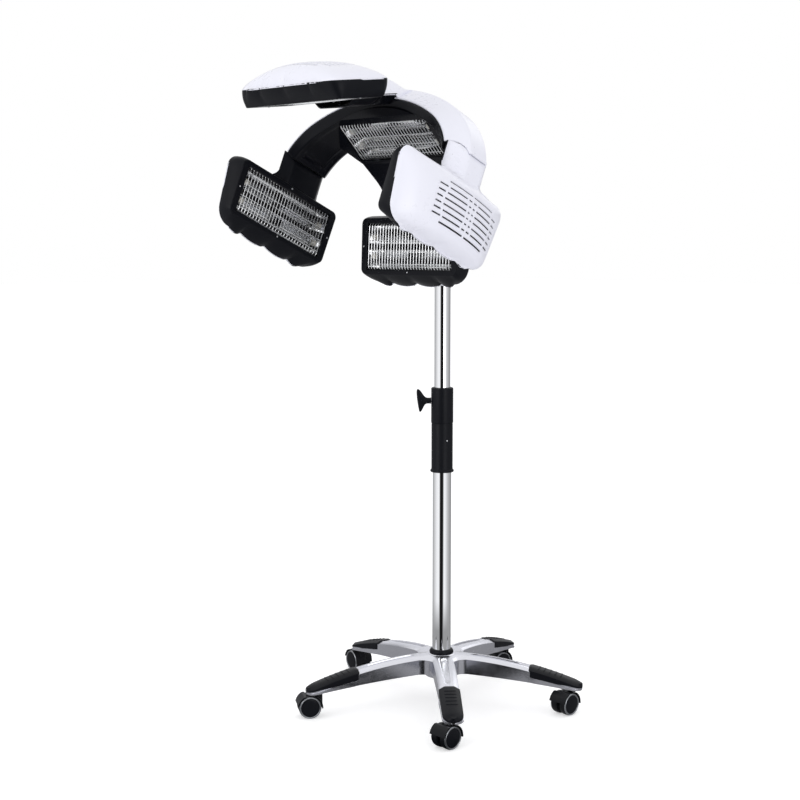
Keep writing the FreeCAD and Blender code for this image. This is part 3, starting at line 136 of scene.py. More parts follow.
# ======== node trees
class Tree:
    """A geometry or shader node group that is being built."""

    def __init__(self, name: str, kind: str) -> None:
        """Start a group.

        Args:
            name: The group's name.
            kind: GeometryNodeTree or ShaderNodeTree.
        """
        self.group = bpy.data.node_groups.new(name, kind)
        self.entry = self.group.nodes.new("NodeGroupInput")
        self.exit = self.group.nodes.new("NodeGroupOutput")

    def take(self, name: str, kind: str, value: object = None) -> NodeSocket:
        """Add a named input and return the socket that carries it."""
        item = self.group.interface.new_socket(name, in_out="INPUT",
                                               socket_type="NodeSocket" + kind)
        if value is not None:
            item.default_value = value
        return self.entry.outputs[name]

    def give(self, name: str, kind: str, source: NodeSocket) -> None:
        """Add a named output fed by a socket."""
        self.group.interface.new_socket(name, in_out="OUTPUT", socket_type="NodeSocket" + kind)
        self.group.links.new(source, self.exit.inputs[name])

    def add(self, kind: str, inputs: dict | None = None, **settings: object) -> Node:
        """Add a node with its settings and its inputs, by name or number."""
        return add_node(self.group, kind, inputs, **settings)

    def paint(self, shape: Node, finish: NodeSocket) -> NodeTree:
        """Send out a node's shape as real geometry with its material and return the group."""
        whole = self.add("GeometryNodeRealizeInstances", {0: shape.outputs[0]})
        painted = self.add("GeometryNodeSetMaterial", {0: whole.outputs[0], "Material": finish})
        self.give("Geometry", "Geometry", painted.outputs[0])
        return self.group


def add_node(tree: NodeTree, kind: str, inputs: dict | None = None,
             **settings: object) -> Node:
    """Add a node to a tree.

    Args:
        tree: The tree that takes the node.
        kind: The node's type name.
        inputs: Values or source sockets, keyed by input name or number.
        settings: The node's own properties.

    Returns:
        The node.
    """
    node = tree.nodes.new(kind)
    for name, value in settings.items():
        setattr(node, name, value)
    for key, value in (inputs or {}).items():
        if isinstance(value, NodeSocket):
            tree.links.new(value, node.inputs[key])
        else:
            node.inputs[key].default_value = value
    return node


def math_node(tree: NodeTree, operation: str, *values: object) -> NodeSocket:
    """Add a Math node and return its result."""
    return add_node(tree, "ShaderNodeMath", dict(enumerate(values)), operation=operation).outputs[0]


def shader_material(name: str, inputs: dict) -> Material:
    """Make a material whose Principled shader has the given input values."""
    material = bpy.data.materials.new(name)
    material.use_nodes = True
    for key, value in inputs.items():
        material.node_tree.nodes["Principled BSDF"].inputs[key].default_value = value
    return material


# ======== finishes
def grain_group() -> NodeTree:
    """Build the group that gives moulded plastic its fine spark-eroded grain."""
    tree = Tree("moulded_grain", "ShaderNodeTree")
    where = tree.take("Vector", "Vector")
    scale = tree.take("Scale", "Float", 900.0)
    fine = tree.add("ShaderNodeTexNoise", {"Vector": where, "Scale": scale, "Detail": 3.0})
    cells = tree.add("ShaderNodeTexVoronoi", {"Vector": where, "Scale": scale},
                     feature="SMOOTH_F1")
    both = math_node(tree.group, "ADD", fine.outputs["Fac"], cells.outputs["Distance"])
    tree.give("Height", "Float", both)
    return tree.group


def patch_group() -> NodeTree:
    """Build the group that varies a finish's shade and gloss in soft patches."""
    tree = Tree("handled_patches", "ShaderNodeTree")
    where = tree.take("Vector", "Vector")
    colour = tree.take("Color", "Color")
    shade = tree.take("Shade Spread", "Float", 0.04)
    gloss = tree.take("Roughness", "Float", 0.3)
    spread = tree.take("Roughness Spread", "Float", 0.05)
    scale = tree.take("Scale", "Float", 9.0)
    broad = tree.add("ShaderNodeTexNoise", {"Vector": where, "Scale": scale, "Detail": 4.0})
    fine = tree.add("ShaderNodeTexNoise", {
        "Vector": where, "Scale": math_node(tree.group, "MULTIPLY", scale, 14.0), "Detail": 6.0})
    lift = math_node(tree.group, "SUBTRACT", broad.outputs["Fac"], 0.5)
    value = math_node(tree.group, "MULTIPLY_ADD", lift, shade, 1.0)
    varied = tree.add("ShaderNodeHueSaturation", {"Color": colour, "Value": value})
    swing = math_node(tree.group, "SUBTRACT", fine.outputs["Fac"], 0.5)
    rough = math_node(tree.group, "MULTIPLY_ADD", swing, spread, gloss)
    worn = math_node(tree.group, "MULTIPLY_ADD", lift, spread, rough)
    tree.give("Color", "Color", varied.outputs["Color"])
    tree.give("Roughness", "Float", worn)
    return tree.group


def brushed_group() -> NodeTree:
    """Build the group that draws a metal's fine polishing lines along one axis."""
    tree = Tree("polishing_lines", "ShaderNodeTree")
    where = tree.take("Vector", "Vector")
    stretch = tree.take("Stretch", "Vector", (1.0, 1.0, 0.02))
    scale = tree.take("Scale", "Float", 1600.0)
    along = tree.add("ShaderNodeVectorMath", {0: where, 1: stretch}, operation="MULTIPLY")
    lines = tree.add("ShaderNodeTexNoise", {
        "Vector": along.outputs[0], "Scale": scale, "Detail": 3.0, "Roughness": 0.6})
    tree.give("Height", "Float", lines.outputs["Fac"])
    return tree.group


def dust_group() -> NodeTree:
    """Build the group that lays thin dust on the faces that look up."""
    tree = Tree("settled_dust", "ShaderNodeTree")
    where = tree.take("Vector", "Vector")
    colour = tree.take("Color", "Color")
    amount = tree.take("Amount", "Float", 0.1)
    normal = tree.add("ShaderNodeNewGeometry").outputs["Normal"]
    upward = tree.add("ShaderNodeSeparateXYZ", {0: normal}).outputs["Z"]
    specks = tree.add("ShaderNodeTexNoise", {"Vector": where, "Scale": 60.0, "Detail": 8.0})
    lying = math_node(tree.group, "MULTIPLY", math_node(tree.group, "MAXIMUM", upward, 0.0),
                      specks.outputs["Fac"])
    mask = math_node(tree.group, "MULTIPLY", lying, amount)
    mixed = tree.add("ShaderNodeMix", {"Factor": mask, 6: colour, 7: (0.42, 0.40, 0.38, 1)},
                     data_type="RGBA")
    tree.give("Color", "Color", mixed.outputs[2])
    return tree.group


class Effect(Enum):
    """The shared shader groups."""

    GRAIN = "moulded_grain"
    PATCHES = "handled_patches"
    LINES = "polishing_lines"
    DUST = "settled_dust"

    def group(self) -> NodeTree:
        """Return this effect's node group, built on first use."""
        builders = {Effect.GRAIN: grain_group, Effect.PATCHES: patch_group,
                    Effect.LINES: brushed_group, Effect.DUST: dust_group}
        return bpy.data.node_groups.get(self.value) or builders[self]()


@dataclass(frozen=True)
class Finish:
    """One opaque finish: its colour, gloss, grain, polishing lines and dust."""

    slot: str
    colour: tuple[float, float, float]
    roughness: float
    metallic: float = 0.0
    coat: float = 0.0
    shade_spread: float = 0.05
    gloss_spread: float = 0.08
    patch_scale: float = 8.0
    specular: float = 0.5
    grain: float = 0.0
    grain_scale: float = 1400.0
    lines: float = 0.0
    stretch: tuple[float, float, float] = (1.0, 1.0, 0.02)
    dust: float = 0.0
    packed: bool = True

    def material(self) -> Material:
        """Return the finish's material, built on first use."""
        name = "finish_" + self.slot
        return bpy.data.materials.get(name) or self.build(name)

    def build(self, name: str) -> Material:
        """Build the material.

        Args:
            name: The material's name.

        Returns:
            The new material.
        """
        material = shader_material(name, {"Metallic": self.metallic, "Coat Weight": self.coat,
                                          "Specular IOR Level": self.specular})
        tree = material.node_tree
        shader = tree.nodes["Principled BSDF"]
        where = add_node(tree, "ShaderNodeTexCoord").outputs["Object"]
        patches = add_node(tree, "ShaderNodeGroup", {
            "Vector": where, "Color": (*self.colour, 1), "Shade Spread": self.shade_spread,
            "Roughness": self.roughness, "Roughness Spread": self.gloss_spread,
            "Scale": self.patch_scale}, node_tree=Effect.PATCHES.group())
        colour = patches.outputs["Color"]
        if self.dust:
            dust = add_node(tree, "ShaderNodeGroup", {
                "Vector": where, "Color": colour, "Amount": self.dust},
                node_tree=Effect.DUST.group())
            colour = dust.outputs["Color"]
        tree.links.new(colour, shader.inputs["Base Color"])
        tree.links.new(patches.outputs["Roughness"], shader.inputs["Roughness"])
        self.add_bump(tree, where, shader)
        return material

    def add_bump(self, tree: NodeTree, where: NodeSocket,
                 shader: Node) -> None:
        """Feed the shader's normal from the grain and the polishing lines."""
        normal = None
        for effect, strength, values in (
                (Effect.GRAIN, self.grain, {"Scale": self.grain_scale}),
                (Effect.LINES, self.lines, {"Stretch": self.stretch})):
            if not strength:
                continue
            group = add_node(tree, "ShaderNodeGroup", {"Vector": where, **values},
                             node_tree=effect.group())
            bump = add_node(tree, "ShaderNodeBump", {
                "Strength": strength, "Distance": 0.0002, "Height": group.outputs["Height"]})
            if normal:
                tree.links.new(normal, bump.inputs["Normal"])
            normal = bump.outputs["Normal"]
        if normal:
            tree.links.new(normal, shader.inputs["Normal"])


@dataclass(frozen=True)
class GlassFinish:
    """A clear or smoked glass with faint waviness."""

    slot: str
    colour: tuple[float, float, float]
    roughness: float
    ior: float = 1.46
    wave: float = 0.1
    packed: bool = True

    def material(self) -> Material:
        """Return the glass's material, built on first use."""
        name = "finish_" + self.slot
        made = bpy.data.materials.get(name)
        if made:
            return made
        made = shader_material(name, {"Base Color": (*self.colour, 1), "IOR": self.ior,
                                      "Roughness": self.roughness, "Transmission Weight": 1.0})
        tree = made.node_tree
        where = add_node(tree, "ShaderNodeTexCoord").outputs["Object"]
        waves = add_node(tree, "ShaderNodeTexNoise", {"Vector": where, "Scale": 45.0})
        bump = add_node(tree, "ShaderNodeBump", {
            "Strength": self.wave, "Distance": 0.0004, "Height": waves.outputs["Fac"]})
        tree.links.new(bump.outputs["Normal"], tree.nodes["Principled BSDF"].inputs["Normal"])
        return made


@dataclass(frozen=True)
class MirrorSheet(Finish):
    """Bright rolled sheet with a hammered orange-peel surface."""

    peel: float = 0.5
    peel_scale: float = 120.0

    def add_bump(self, tree: NodeTree, where: NodeSocket,
                 shader: Node) -> None:
        """Feed the shader's normal from the sheet's orange peel."""
        dents = add_node(tree, "ShaderNodeTexVoronoi", {"Vector": where, "Scale": self.peel_scale},
                         feature="SMOOTH_F1")
        bump = add_node(tree, "ShaderNodeBump", {
            "Strength": self.peel, "Distance": 0.002, "Height": dents.outputs["Distance"]})
        tree.links.new(bump.outputs["Normal"], shader.inputs["Normal"])


WHITE = Finish("white_gloss", (0.85, 0.855, 0.945), 0.28, coat=0.12, shade_spread=0.02,
               gloss_spread=0.03, grain=0.012)
BLACK = Finish("black_satin", (0.0052, 0.0058, 0.0085), 0.36, specular=0.12, shade_spread=0.25,
               gloss_spread=0.12, grain=0.15, dust=0.012)
GLOSS_BLACK = Finish("black_gloss", (0.0040, 0.0045, 0.0070), 0.24, specular=0.16,
                     shade_spread=0.2, gloss_spread=0.08, grain=0.05, dust=0.008)
ALLOY = Finish("polished_alloy", (0.74, 0.745, 0.80), 0.22, metallic=1.0, shade_spread=0.12,
               gloss_spread=0.16, lines=0.10, stretch=(0.05, 0.05, 1.0))
CHROME = Finish("chromed_tube", (0.93, 0.935, 0.94), 0.05, metallic=1.0, shade_spread=0.02,
                gloss_spread=0.03, lines=0.02)
STEEL = Finish("steel", (0.75, 0.76, 0.78), 0.28, metallic=1.0, lines=0.1)
NYLON = Finish("nylon", (0.0065, 0.007, 0.009), 0.34, specular=0.16, shade_spread=0.3,
               grain=0.2, dust=0.012)
WHEEL_GREY = Finish("wheel_grey", (0.30, 0.31, 0.33), 0.28, metallic=0.85, shade_spread=0.15,
                    grain=0.1, dust=0.02)
WIRE = Finish("guard_wire", (0.93, 0.94, 0.95), 0.22, metallic=1.0, shade_spread=0.05,
              gloss_spread=0.1, lines=0.05)
SHEET = MirrorSheet("reflector_sheet", (0.96, 0.965, 0.97), 0.16, metallic=1.0, shade_spread=0.2,
                    gloss_spread=0.1, peel=0.22)
# Dark copy of the reflector sheet: painted shade and painted dark reflection on the facets away from the lamps.
PAINTED_SHADE_SHEET = MirrorSheet("painted_shade_sheet", (0.060, 0.060, 0.064), 0.14, metallic=1.0, shade_spread=0.4,
                   gloss_spread=0.1, patch_scale=30.0, packed=False, peel=0.35)
CERAMIC = Finish("ceramic", (0.62, 0.60, 0.55), 0.55, shade_spread=0.1, grain=0.2, packed=False)
FILAMENT = Finish("filament", (0.05, 0.045, 0.04), 0.5, metallic=0.5, shade_spread=0.3,
                  packed=False)
BOARD = Finish("board_green", (0.02, 0.12, 0.05), 0.4, shade_spread=0.2, grain=0.1)
SOCKET_PAINT = Finish("socket_paint", (0.016, 0.017, 0.02), 0.36, shade_spread=0.2, grain=0.2)
QUARTZ = GlassFinish("quartz", (0.97, 0.98, 1.0), 0.03)
SMOKED = GlassFinish("smoked_window", (0.12, 0.03, 0.03), 0.04, ior=1.5, wave=0.02)


# ======== meshes
class Skin:
    """Points in millimetres and the faces between them, made into one mesh at the end."""

    def __init__(self) -> None:
        """Start with nothing."""
        self.points: Row = []
        self.faces: list[tuple[int, ...]] = []

    def row(self, points: Sequence[Vector]) -> list[int]:
        """Add a row of points and return their numbers."""
        start = len(self.points)
        self.points.extend(Vector(point) for point in points)
        return list(range(start, len(self.points)))

    def bridge(self, low: Sequence[int], high: Sequence[int], closed: bool = False) -> None:
        """Join two rows of equal length with quads."""
        count = len(low)
        for i in range(count if closed else count - 1):
            j = (i + 1) % count
            self.faces.append((low[i], low[j], high[j], high[i]))

    def sheet(self, rows: Sequence[Sequence[Vector]], closed: bool = False) -> list[list[int]]:
        """Join successive rows of points with quads and return their numbers."""
        numbers = [self.row(points) for points in rows]
        for low, high in zip(numbers, numbers[1:]):
            self.bridge(low, high, closed)
        return numbers

    def solid(self, rings: Sequence[Row]) -> None:
        """Join successive rings of points and close the first and the last."""
        numbers = self.sheet([ring + ring[:1] for ring in rings])
        self.faces += [tuple(numbers[0][:-1]), tuple(numbers[-1][:-1])]

    def piece(self, name: str, place: Place = UPRIGHT, sharp: float = 40.0,
              facing: Vector | None = None) -> Object:
        """Make the object.

        Args:
            name: The object's name.
            place: The axes that the points are in.
            sharp: Edges that bend by more than this many degrees stay sharp.
            facing: For an open sheet, the way that its faces look, in the place's axes.

        Returns:
            The object, at the origin with its place in its mesh.
        """
        mesh = bpy.data.meshes.new(name)
        mesh.from_pydata([point * MM for point in self.points], [], self.faces)
        editing = bmesh.new()
        editing.from_mesh(mesh)
        bmesh.ops.remove_doubles(editing, verts=editing.verts, dist=0.00001)
        bmesh.ops.recalc_face_normals(editing, faces=editing.faces)
        if facing:
            tilt = sum(face.normal.dot(facing) * face.calc_area() for face in editing.faces)
            if tilt < 0:
                bmesh.ops.reverse_faces(editing, faces=editing.faces)
        editing.to_mesh(mesh)
        editing.free()
        mesh.transform(place.matrix())
        return show(mesh, name, sharp)


def linked(name: str, data: ID) -> Object:
    """Put a mesh, a lamp or a camera in the scene under a name."""
    thing = bpy.data.objects.new(name, data)
    bpy.context.scene.collection.objects.link(thing)
    return thing


def show(mesh: Mesh, name: str, sharp: float = 40.0) -> Object:
    """Put a mesh in the scene, smooth but for its sharp edges."""
    mesh.name = name
    mesh.shade_smooth()
    mesh.set_sharp_from_angle(angle=math.radians(sharp))
    return linked(name, mesh)


def thicken(piece: Object, wall: float) -> None:
    """Give an open sheet a wall on its inner side."""
    modifier = piece.modifiers.new("wall", "SOLIDIFY")
    modifier.thickness = wall * MM
    modifier.offset = -1.0
    modifier.use_even_offset = False


def round_edges(piece: Object, width: float, segments: int = 3,
                angle: float = 35.0) -> None:
    """Round a piece's sharp edges."""
    modifier = piece.modifiers.new("edges", "BEVEL")
    modifier.width = width * MM
    modifier.segments = segments
    modifier.limit_method = "ANGLE"
    modifier.angle_limit = math.radians(angle)
    modifier.harden_normals = True


def dress(piece: Object, finish: Finish | GlassFinish, body: str, *nodes: str) -> None:
    """Give a piece its finish and its body, and hide the CAD nodes that it stands for."""
    piece.data.materials.clear()
    piece.data.materials.append(finish.material())
    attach(piece, body)
    if nodes:
        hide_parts(*nodes)
    log.info("%s rides on %s", piece.name, body)


def soften(node: str, finish: Finish | GlassFinish, body: str, width: float = 0.6,
           sharp: float = 30.0) -> Object:
    """Copy a CAD node, merge its loose triangles and round its edges.

    Args:
        node: The CAD node.
        finish: The finish that the copy gets.
        body: The body that it rides on.
        width: The rounding of its edges in millimetres.
        sharp: Edges that bend by more than this many degrees are rounded.

    Returns:
        The copy, which stands for the node.
    """
    mesh = frame["nodes"][node].data.copy()
    editing = bmesh.new()
    editing.from_mesh(mesh)
    bmesh.ops.remove_doubles(editing, verts=editing.verts, dist=0.00002)
    bmesh.ops.dissolve_limit(editing, angle_limit=math.radians(1.0), verts=editing.verts,
                             edges=editing.edges)
    editing.to_mesh(mesh)
    editing.free()
    piece = show(mesh, node + "_softened", sharp)
    if width:
        round_edges(piece, width, 2, sharp)
    dress(piece, finish, body, node)
    return piece


def lathe(profile: Sequence[tuple[float, float]], sides: int = 96) -> Skin:
    """Return the skin of a turned piece about +z from closed (radius, height) points."""
    skin = Skin()
    rows = []
    for k in range(sides):
        turn = 2 * math.pi * k / sides
        rows.append([polar(radius, turn, height) for radius, height in profile])
    rows.append(rows[0])
    skin.sheet(rows)
    return skin


def tube_profile(outer: float, inner: float, low: float, high: float,
                 edge: float = 0.4) -> list[tuple[float, float]]:
    """Return the closed profile of a tube with broken edges."""
    return [(inner, low), (outer - edge, low), (outer, low + edge), (outer, high - edge),
            (outer - edge, high), (inner, high), (inner, low)]


# ======== repeated pieces
def rod_row_tree() -> NodeTree:
    """Build the tree that lays a row of round wires side by side, their ends bent back."""
    tree = Tree("rod_row", "GeometryNodeTree")
    tree.take("Geometry", "Geometry")
    count = tree.take("Count", "Int", 10)
    pitch = tree.take("Pitch", "Float", 5.0)
    length = tree.take("Length", "Float", 50.0)
    radius = tree.take("Radius", "Float", 1.0)
    hook = tree.take("Hook", "Float", 0.0)
    finish = tree.take("Material", "Material")
    group = tree.group
    gaps = math_node(group, "SUBTRACT", count, 1.0)
    first = math_node(group, "MULTIPLY", math_node(group, "MULTIPLY", gaps, pitch), -0.5)
    line = tree.add("GeometryNodeMeshLine", {
        "Count": count,
        "Start Location": tree.add("ShaderNodeCombineXYZ", {"X": first}).outputs[0],
        "Offset": tree.add("ShaderNodeCombineXYZ", {"X": pitch}).outputs[0]})
    half = math_node(group, "MULTIPLY", length, 0.5)
    back = math_node(group, "MULTIPLY", length, -0.5)
    wire = tree.add("GeometryNodeCurvePrimitiveLine", {
        "Start": tree.add("ShaderNodeCombineXYZ", {"Y": back}).outputs[0],
        "End": tree.add("ShaderNodeCombineXYZ", {"Y": half}).outputs[0]})
    split = tree.add("GeometryNodeResampleCurve", {"Curve": wire.outputs[0], "Count": 21})
    where = tree.add("ShaderNodeSeparateXYZ", {0: tree.add("GeometryNodeInputPosition").outputs[0]})
    share = math_node(group, "DIVIDE", where.outputs["Y"], half)
    bend = math_node(group, "POWER", math_node(group, "ABSOLUTE", share), 16.0)
    drop = tree.add("ShaderNodeCombineXYZ", {"Z": math_node(group, "MULTIPLY", bend, hook)})
    bent = tree.add("GeometryNodeSetPosition", {"Geometry": split.outputs[0],
                                                "Offset": drop.outputs[0]})
    round_bar = tree.add("GeometryNodeCurvePrimitiveCircle", {"Resolution": 8, "Radius": radius})
    bar = tree.add("GeometryNodeCurveToMesh", {
        "Curve": bent.outputs[0], "Profile Curve": round_bar.outputs["Curve"], "Fill Caps": True})
    copies = tree.add("GeometryNodeInstanceOnPoints", {
        "Points": line.outputs[0], "Instance": bar.outputs[0]})
    return tree.paint(copies, finish)


def copies_tree() -> NodeTree:
    """Build the tree that puts a copy of a piece on every point, along its facing."""
    tree = Tree("copies", "GeometryNodeTree")
    points = tree.take("Geometry", "Geometry")
    piece = tree.take("Piece", "Object")
    finish = tree.take("Material", "Material")
    source = tree.add("GeometryNodeObjectInfo", {"Object": piece})
    facing = tree.add("GeometryNodeInputNamedAttribute", {"Name": "facing"},
                      data_type="FLOAT_VECTOR")
    along = tree.add("GeometryNodeInputNamedAttribute", {"Name": "along"},
                     data_type="FLOAT_VECTOR")
    stand = tree.add("FunctionNodeAxesToRotation", {"Primary Axis": facing.outputs[0],
                                                    "Secondary Axis": along.outputs[0]})
    placed = tree.add("GeometryNodeInstanceOnPoints", {
        "Points": points, "Instance": source.outputs["Geometry"],
        "Rotation": stand.outputs[0]})
    return tree.paint(placed, finish)


def coil_tree() -> NodeTree:
    """Build the tree that winds a lamp's filament."""
    tree = Tree("coil", "GeometryNodeTree")
    tree.take("Geometry", "Geometry")
    turns = tree.take("Turns", "Float", 30.0)
    radius = tree.take("Radius", "Float", 2.0)
    length = tree.take("Length", "Float", 100.0)
    wire = tree.take("Wire Radius", "Float", 0.4)
    finish = tree.take("Material", "Material")
    spiral = tree.add("GeometryNodeCurveSpiral", {
        "Resolution": 10, "Rotations": turns, "Start Radius": radius, "End Radius": radius,
        "Height": length})
    profile = tree.add("GeometryNodeCurvePrimitiveCircle", {"Resolution": 5, "Radius": wire})
    wound = tree.add("GeometryNodeCurveToMesh", {
        "Curve": spiral.outputs[0], "Profile Curve": profile.outputs["Curve"], "Fill Caps": True})
    return tree.paint(wound, finish)


def slots_tree() -> NodeTree:
    """Build the tree that opens the faces marked as slots in a sheet."""
    tree = Tree("slots", "GeometryNodeTree")
    sheet = tree.take("Geometry", "Geometry")
    finish = tree.take("Material", "Material")
    marked = tree.add("GeometryNodeInputNamedAttribute", {"Name": "slot"}, data_type="BOOLEAN")
    opened = tree.add("GeometryNodeDeleteGeometry", {0: sheet, "Selection": marked.outputs[0]},
                      domain="FACE")
    return tree.paint(opened, finish)


class Repeat(Enum):
    """The trees that make what repeats."""

    RODS = "rod_row"
    COPIES = "copies"
    COIL = "coil"
    SLOTS = "slots"

    def tree(self) -> NodeTree:
        """Return this rule's node tree, built on first use."""
        builders = {Repeat.RODS: rod_row_tree, Repeat.COPIES: copies_tree,
                    Repeat.COIL: coil_tree, Repeat.SLOTS: slots_tree}
        return bpy.data.node_groups.get(self.value) or builders[self]()

    def grow(self, host: Object, values: dict) -> Mesh:
        """Run the tree on a host and return the plain mesh that it makes.

        Args:
            host: The object whose mesh the tree takes. It is removed.
            values: The tree's inputs by name.

        Returns:
            The mesh, in the host's own units.
        """
        modifier = host.modifiers.new(self.value, "NODES")
        modifier.node_group = self.tree()
        names = {item.name: item.identifier for item in modifier.node_group.interface.items_tree
                 if item.in_out == "INPUT"}
        for name, value in values.items():
            modifier[names[name]] = value
        bpy.context.view_layer.update()
        graph = bpy.context.evaluated_depsgraph_get()
        mesh = bpy.data.meshes.new_from_object(host.evaluated_get(graph))
        bpy.data.objects.remove(host)
        return mesh


def bare_host(name: str, points: Sequence[Vector] = ((0, 0, 0),)) -> Object:
    """Return a host object whose mesh is only points."""
    mesh = bpy.data.meshes.new(name)
    mesh.from_pydata([Vector(point) for point in points], [], [])
    return linked(name, mesh)


def grown(rule: Repeat, name: str, values: dict, finish: Finish, turn: Matrix,
          place: Place) -> Object:
    """Grow a rule in millimetres, turn it within a place and put it in the row frame."""
    mesh = rule.grow(bare_host(name + "_host"), {**values, "Material": finish.material()})
    mesh.transform(place.matrix() @ Matrix.Scale(MM, 4) @ turn)
    return show(mesh, name)


def copies_on(name: str, spots: Sequence[tuple[Vector, Vector, Vector]], pattern: Object,
              finish: Finish, place: Place) -> Object:
    """Put copies of a pattern piece on spots.

    Args:
        name: The new object's name.
        spots: Where each copy stands, the way its +z faces and the way its +x points.
        pattern: The piece to copy, in millimetres about its own origin. It is removed.
        finish: The copies' finish.
        place: The axes that the spots are in.

    Returns:
        The copies as one object.
    """
    host = bare_host(name + "_host", [spot[0] for spot in spots])
    for column, label in ((1, "facing"), (2, "along")):
        layer = host.data.attributes.new(label, "FLOAT_VECTOR", "POINT")
        layer.data.foreach_set("vector", [value for spot in spots for value in spot[column]])
    mesh = Repeat.COPIES.grow(host, {"Piece": pattern, "Material": finish.material()})
    bpy.data.objects.remove(pattern)
    mesh.transform(place.matrix() @ Matrix.Scale(MM, 4))
    return show(mesh, name)


def pattern_of(skin: Skin, name: str) -> Object:
    """Return a skin as a pattern object that stays in millimetres."""
    pattern = skin.piece(name)
    pattern.data.transform(Matrix.Scale(1 / MM, 4))
    return pattern


def screw_pattern(radius: float = 1.9) -> Object:
    """Return a small pan-head screw with a socket in its head."""
    skin = lathe([(0, -1.0), (radius, -1.0), (radius, 0.5), (radius * 0.75, 1.1),
                  (radius * 0.45, 1.25), (radius * 0.42, 0.4), (0, 0.35)], 20)
    return pattern_of(skin, "screw_pattern")


# ======== outlines
def corner_points(before: Vector, corner: Vector, after: Vector, radius: float,
                  count: int) -> Row:
    """Return the points of the arc that rounds a corner."""
    back, ahead = (before - corner).normalized(), (after - corner).normalized()
    half = back.angle(ahead) / 2
    middle = (back + ahead).normalized()
    centre = corner + middle * (radius / math.sin(half))
    start = corner + back * (radius / math.tan(half)) - centre
    end = corner + ahead * (radius / math.tan(half)) - centre
    span = start.angle(end)
    return [centre + (start * math.sin(span * (1 - k / count)) + end * math.sin(span * k / count))
            / math.sin(span) for k in range(count + 1)]


def rounded_row(corners: Sequence[Vector], radii: Sequence[float], count: int = 6,
                step: float = 8.0, closed: bool = True) -> Row:
    """Return a polyline through corners, each rounded, with its straights cut into steps."""
    total = len(corners)
    arcs = []
    for i, corner in enumerate(corners):
        if not closed and i in (0, total - 1) or radii[i] <= 0:
            arcs.append([corner])
            continue
        arcs.append(corner_points(corners[i - 1], corner, corners[(i + 1) % total], radii[i],
                                  count))
    points: Row = []
    for i, arc in enumerate(arcs):
        points += arc
        if i == total - 1 and not closed:
            break
        following = arcs[(i + 1) % total][0]
        pieces = max(1, round((following - arc[-1]).length / step))
        points += [arc[-1].lerp(following, k / pieces) for k in range(1, pieces)]
    return points


@dataclass(frozen=True)
class PanelForm:
    """The sizes of a heater panel's two mouldings in millimetres."""

    top_half: float = 162.0
    low_half: float = 142.0
    half_height: float = 74.0
    top_radius: float = 24.0
    low_radius: float = 40.0
    lobe_sag: float = 7.0
    notches: tuple[float, ...] = (-72.0, 0.0, 72.0)
    face_half: float = 144.0
    face_top: float = 67.0
    face_low: float = -56.0
    face_radius: float = 13.0
    depth: float = 35.0
    rise: float = 44.0
    wall: float = 2.6
    seam: float = 0.5
    window_w: float = 254.0
    window_h: float = 103.0
    window_mid: float = 5.0
    arc_steps: int = 8
    guard_inset: float = 0.4
    top_steps: int = 36
    side_steps: int = 8
    lobe_steps: int = 9

    def outline(self, halves: tuple[float, float], heights: tuple[float, float],
                radii: tuple[float, float], sag: float) -> Row:
        """Return a panel outline whose low edge is a row of lobes.

        Args:
            halves: Half the width at the top and at the bottom.
            heights: The heights of the top and of the bottom edge.
            radii: The corner radii at the top and at the bottom.
            sag: How far the lobes hang below the bottom edge.

        Returns:
            The points, anticlockwise from the top right corner; equal in number for any sizes.
        """
        corners = [Vector((halves[0], heights[0], 0)), Vector((-halves[0], heights[0], 0)),
                   Vector((-halves[1], heights[1], 0)), Vector((halves[1], heights[1], 0))]
        arcs = [corner_points(corners[i - 1], corners[i], corners[(i + 1) % 4],
                              radii[0] if i < 2 else radii[1], self.arc_steps) for i in range(4)]
        points: Row = []
        for arc, following, steps in ((arcs[0], arcs[1], self.top_steps),
                                      (arcs[1], arcs[2], self.side_steps)):
            points += arc
            points += [arc[-1].lerp(following[0], k / steps) for k in range(1, steps)]
        points += arcs[2]
        stops = [arcs[2][-1].x, *self.notches, arcs[3][0].x]
        for start, end in zip(stops, stops[1:]):
            for k in range(1, self.lobe_steps + 1):
                share = k / self.lobe_steps
                hang = sag * math.sin(math.pi * share ** 0.85) ** 0.7 if share < 1 else 0.0
                points.append(Vector((start + (end - start) * share, heights[1] - hang, 0)))
        points += arcs[3][1:]
        points += [arcs[3][-1].lerp(arcs[0][0], k / self.side_steps)
                   for k in range(1, self.side_steps)]
        return points

    def rim(self) -> Row:
        """Return the outline at the seam between the two mouldings."""
        return self.outline((self.top_half, self.low_half), (self.half_height, -self.half_height),
                            (self.top_radius, self.low_radius), self.lobe_sag)

    def face(self) -> Row:
        """Return the outline of the flat face round the guard."""
        return self.outline((self.face_half, self.face_half - 2), (self.face_top, self.face_low),
                            (self.face_radius, self.face_radius), 0.0)


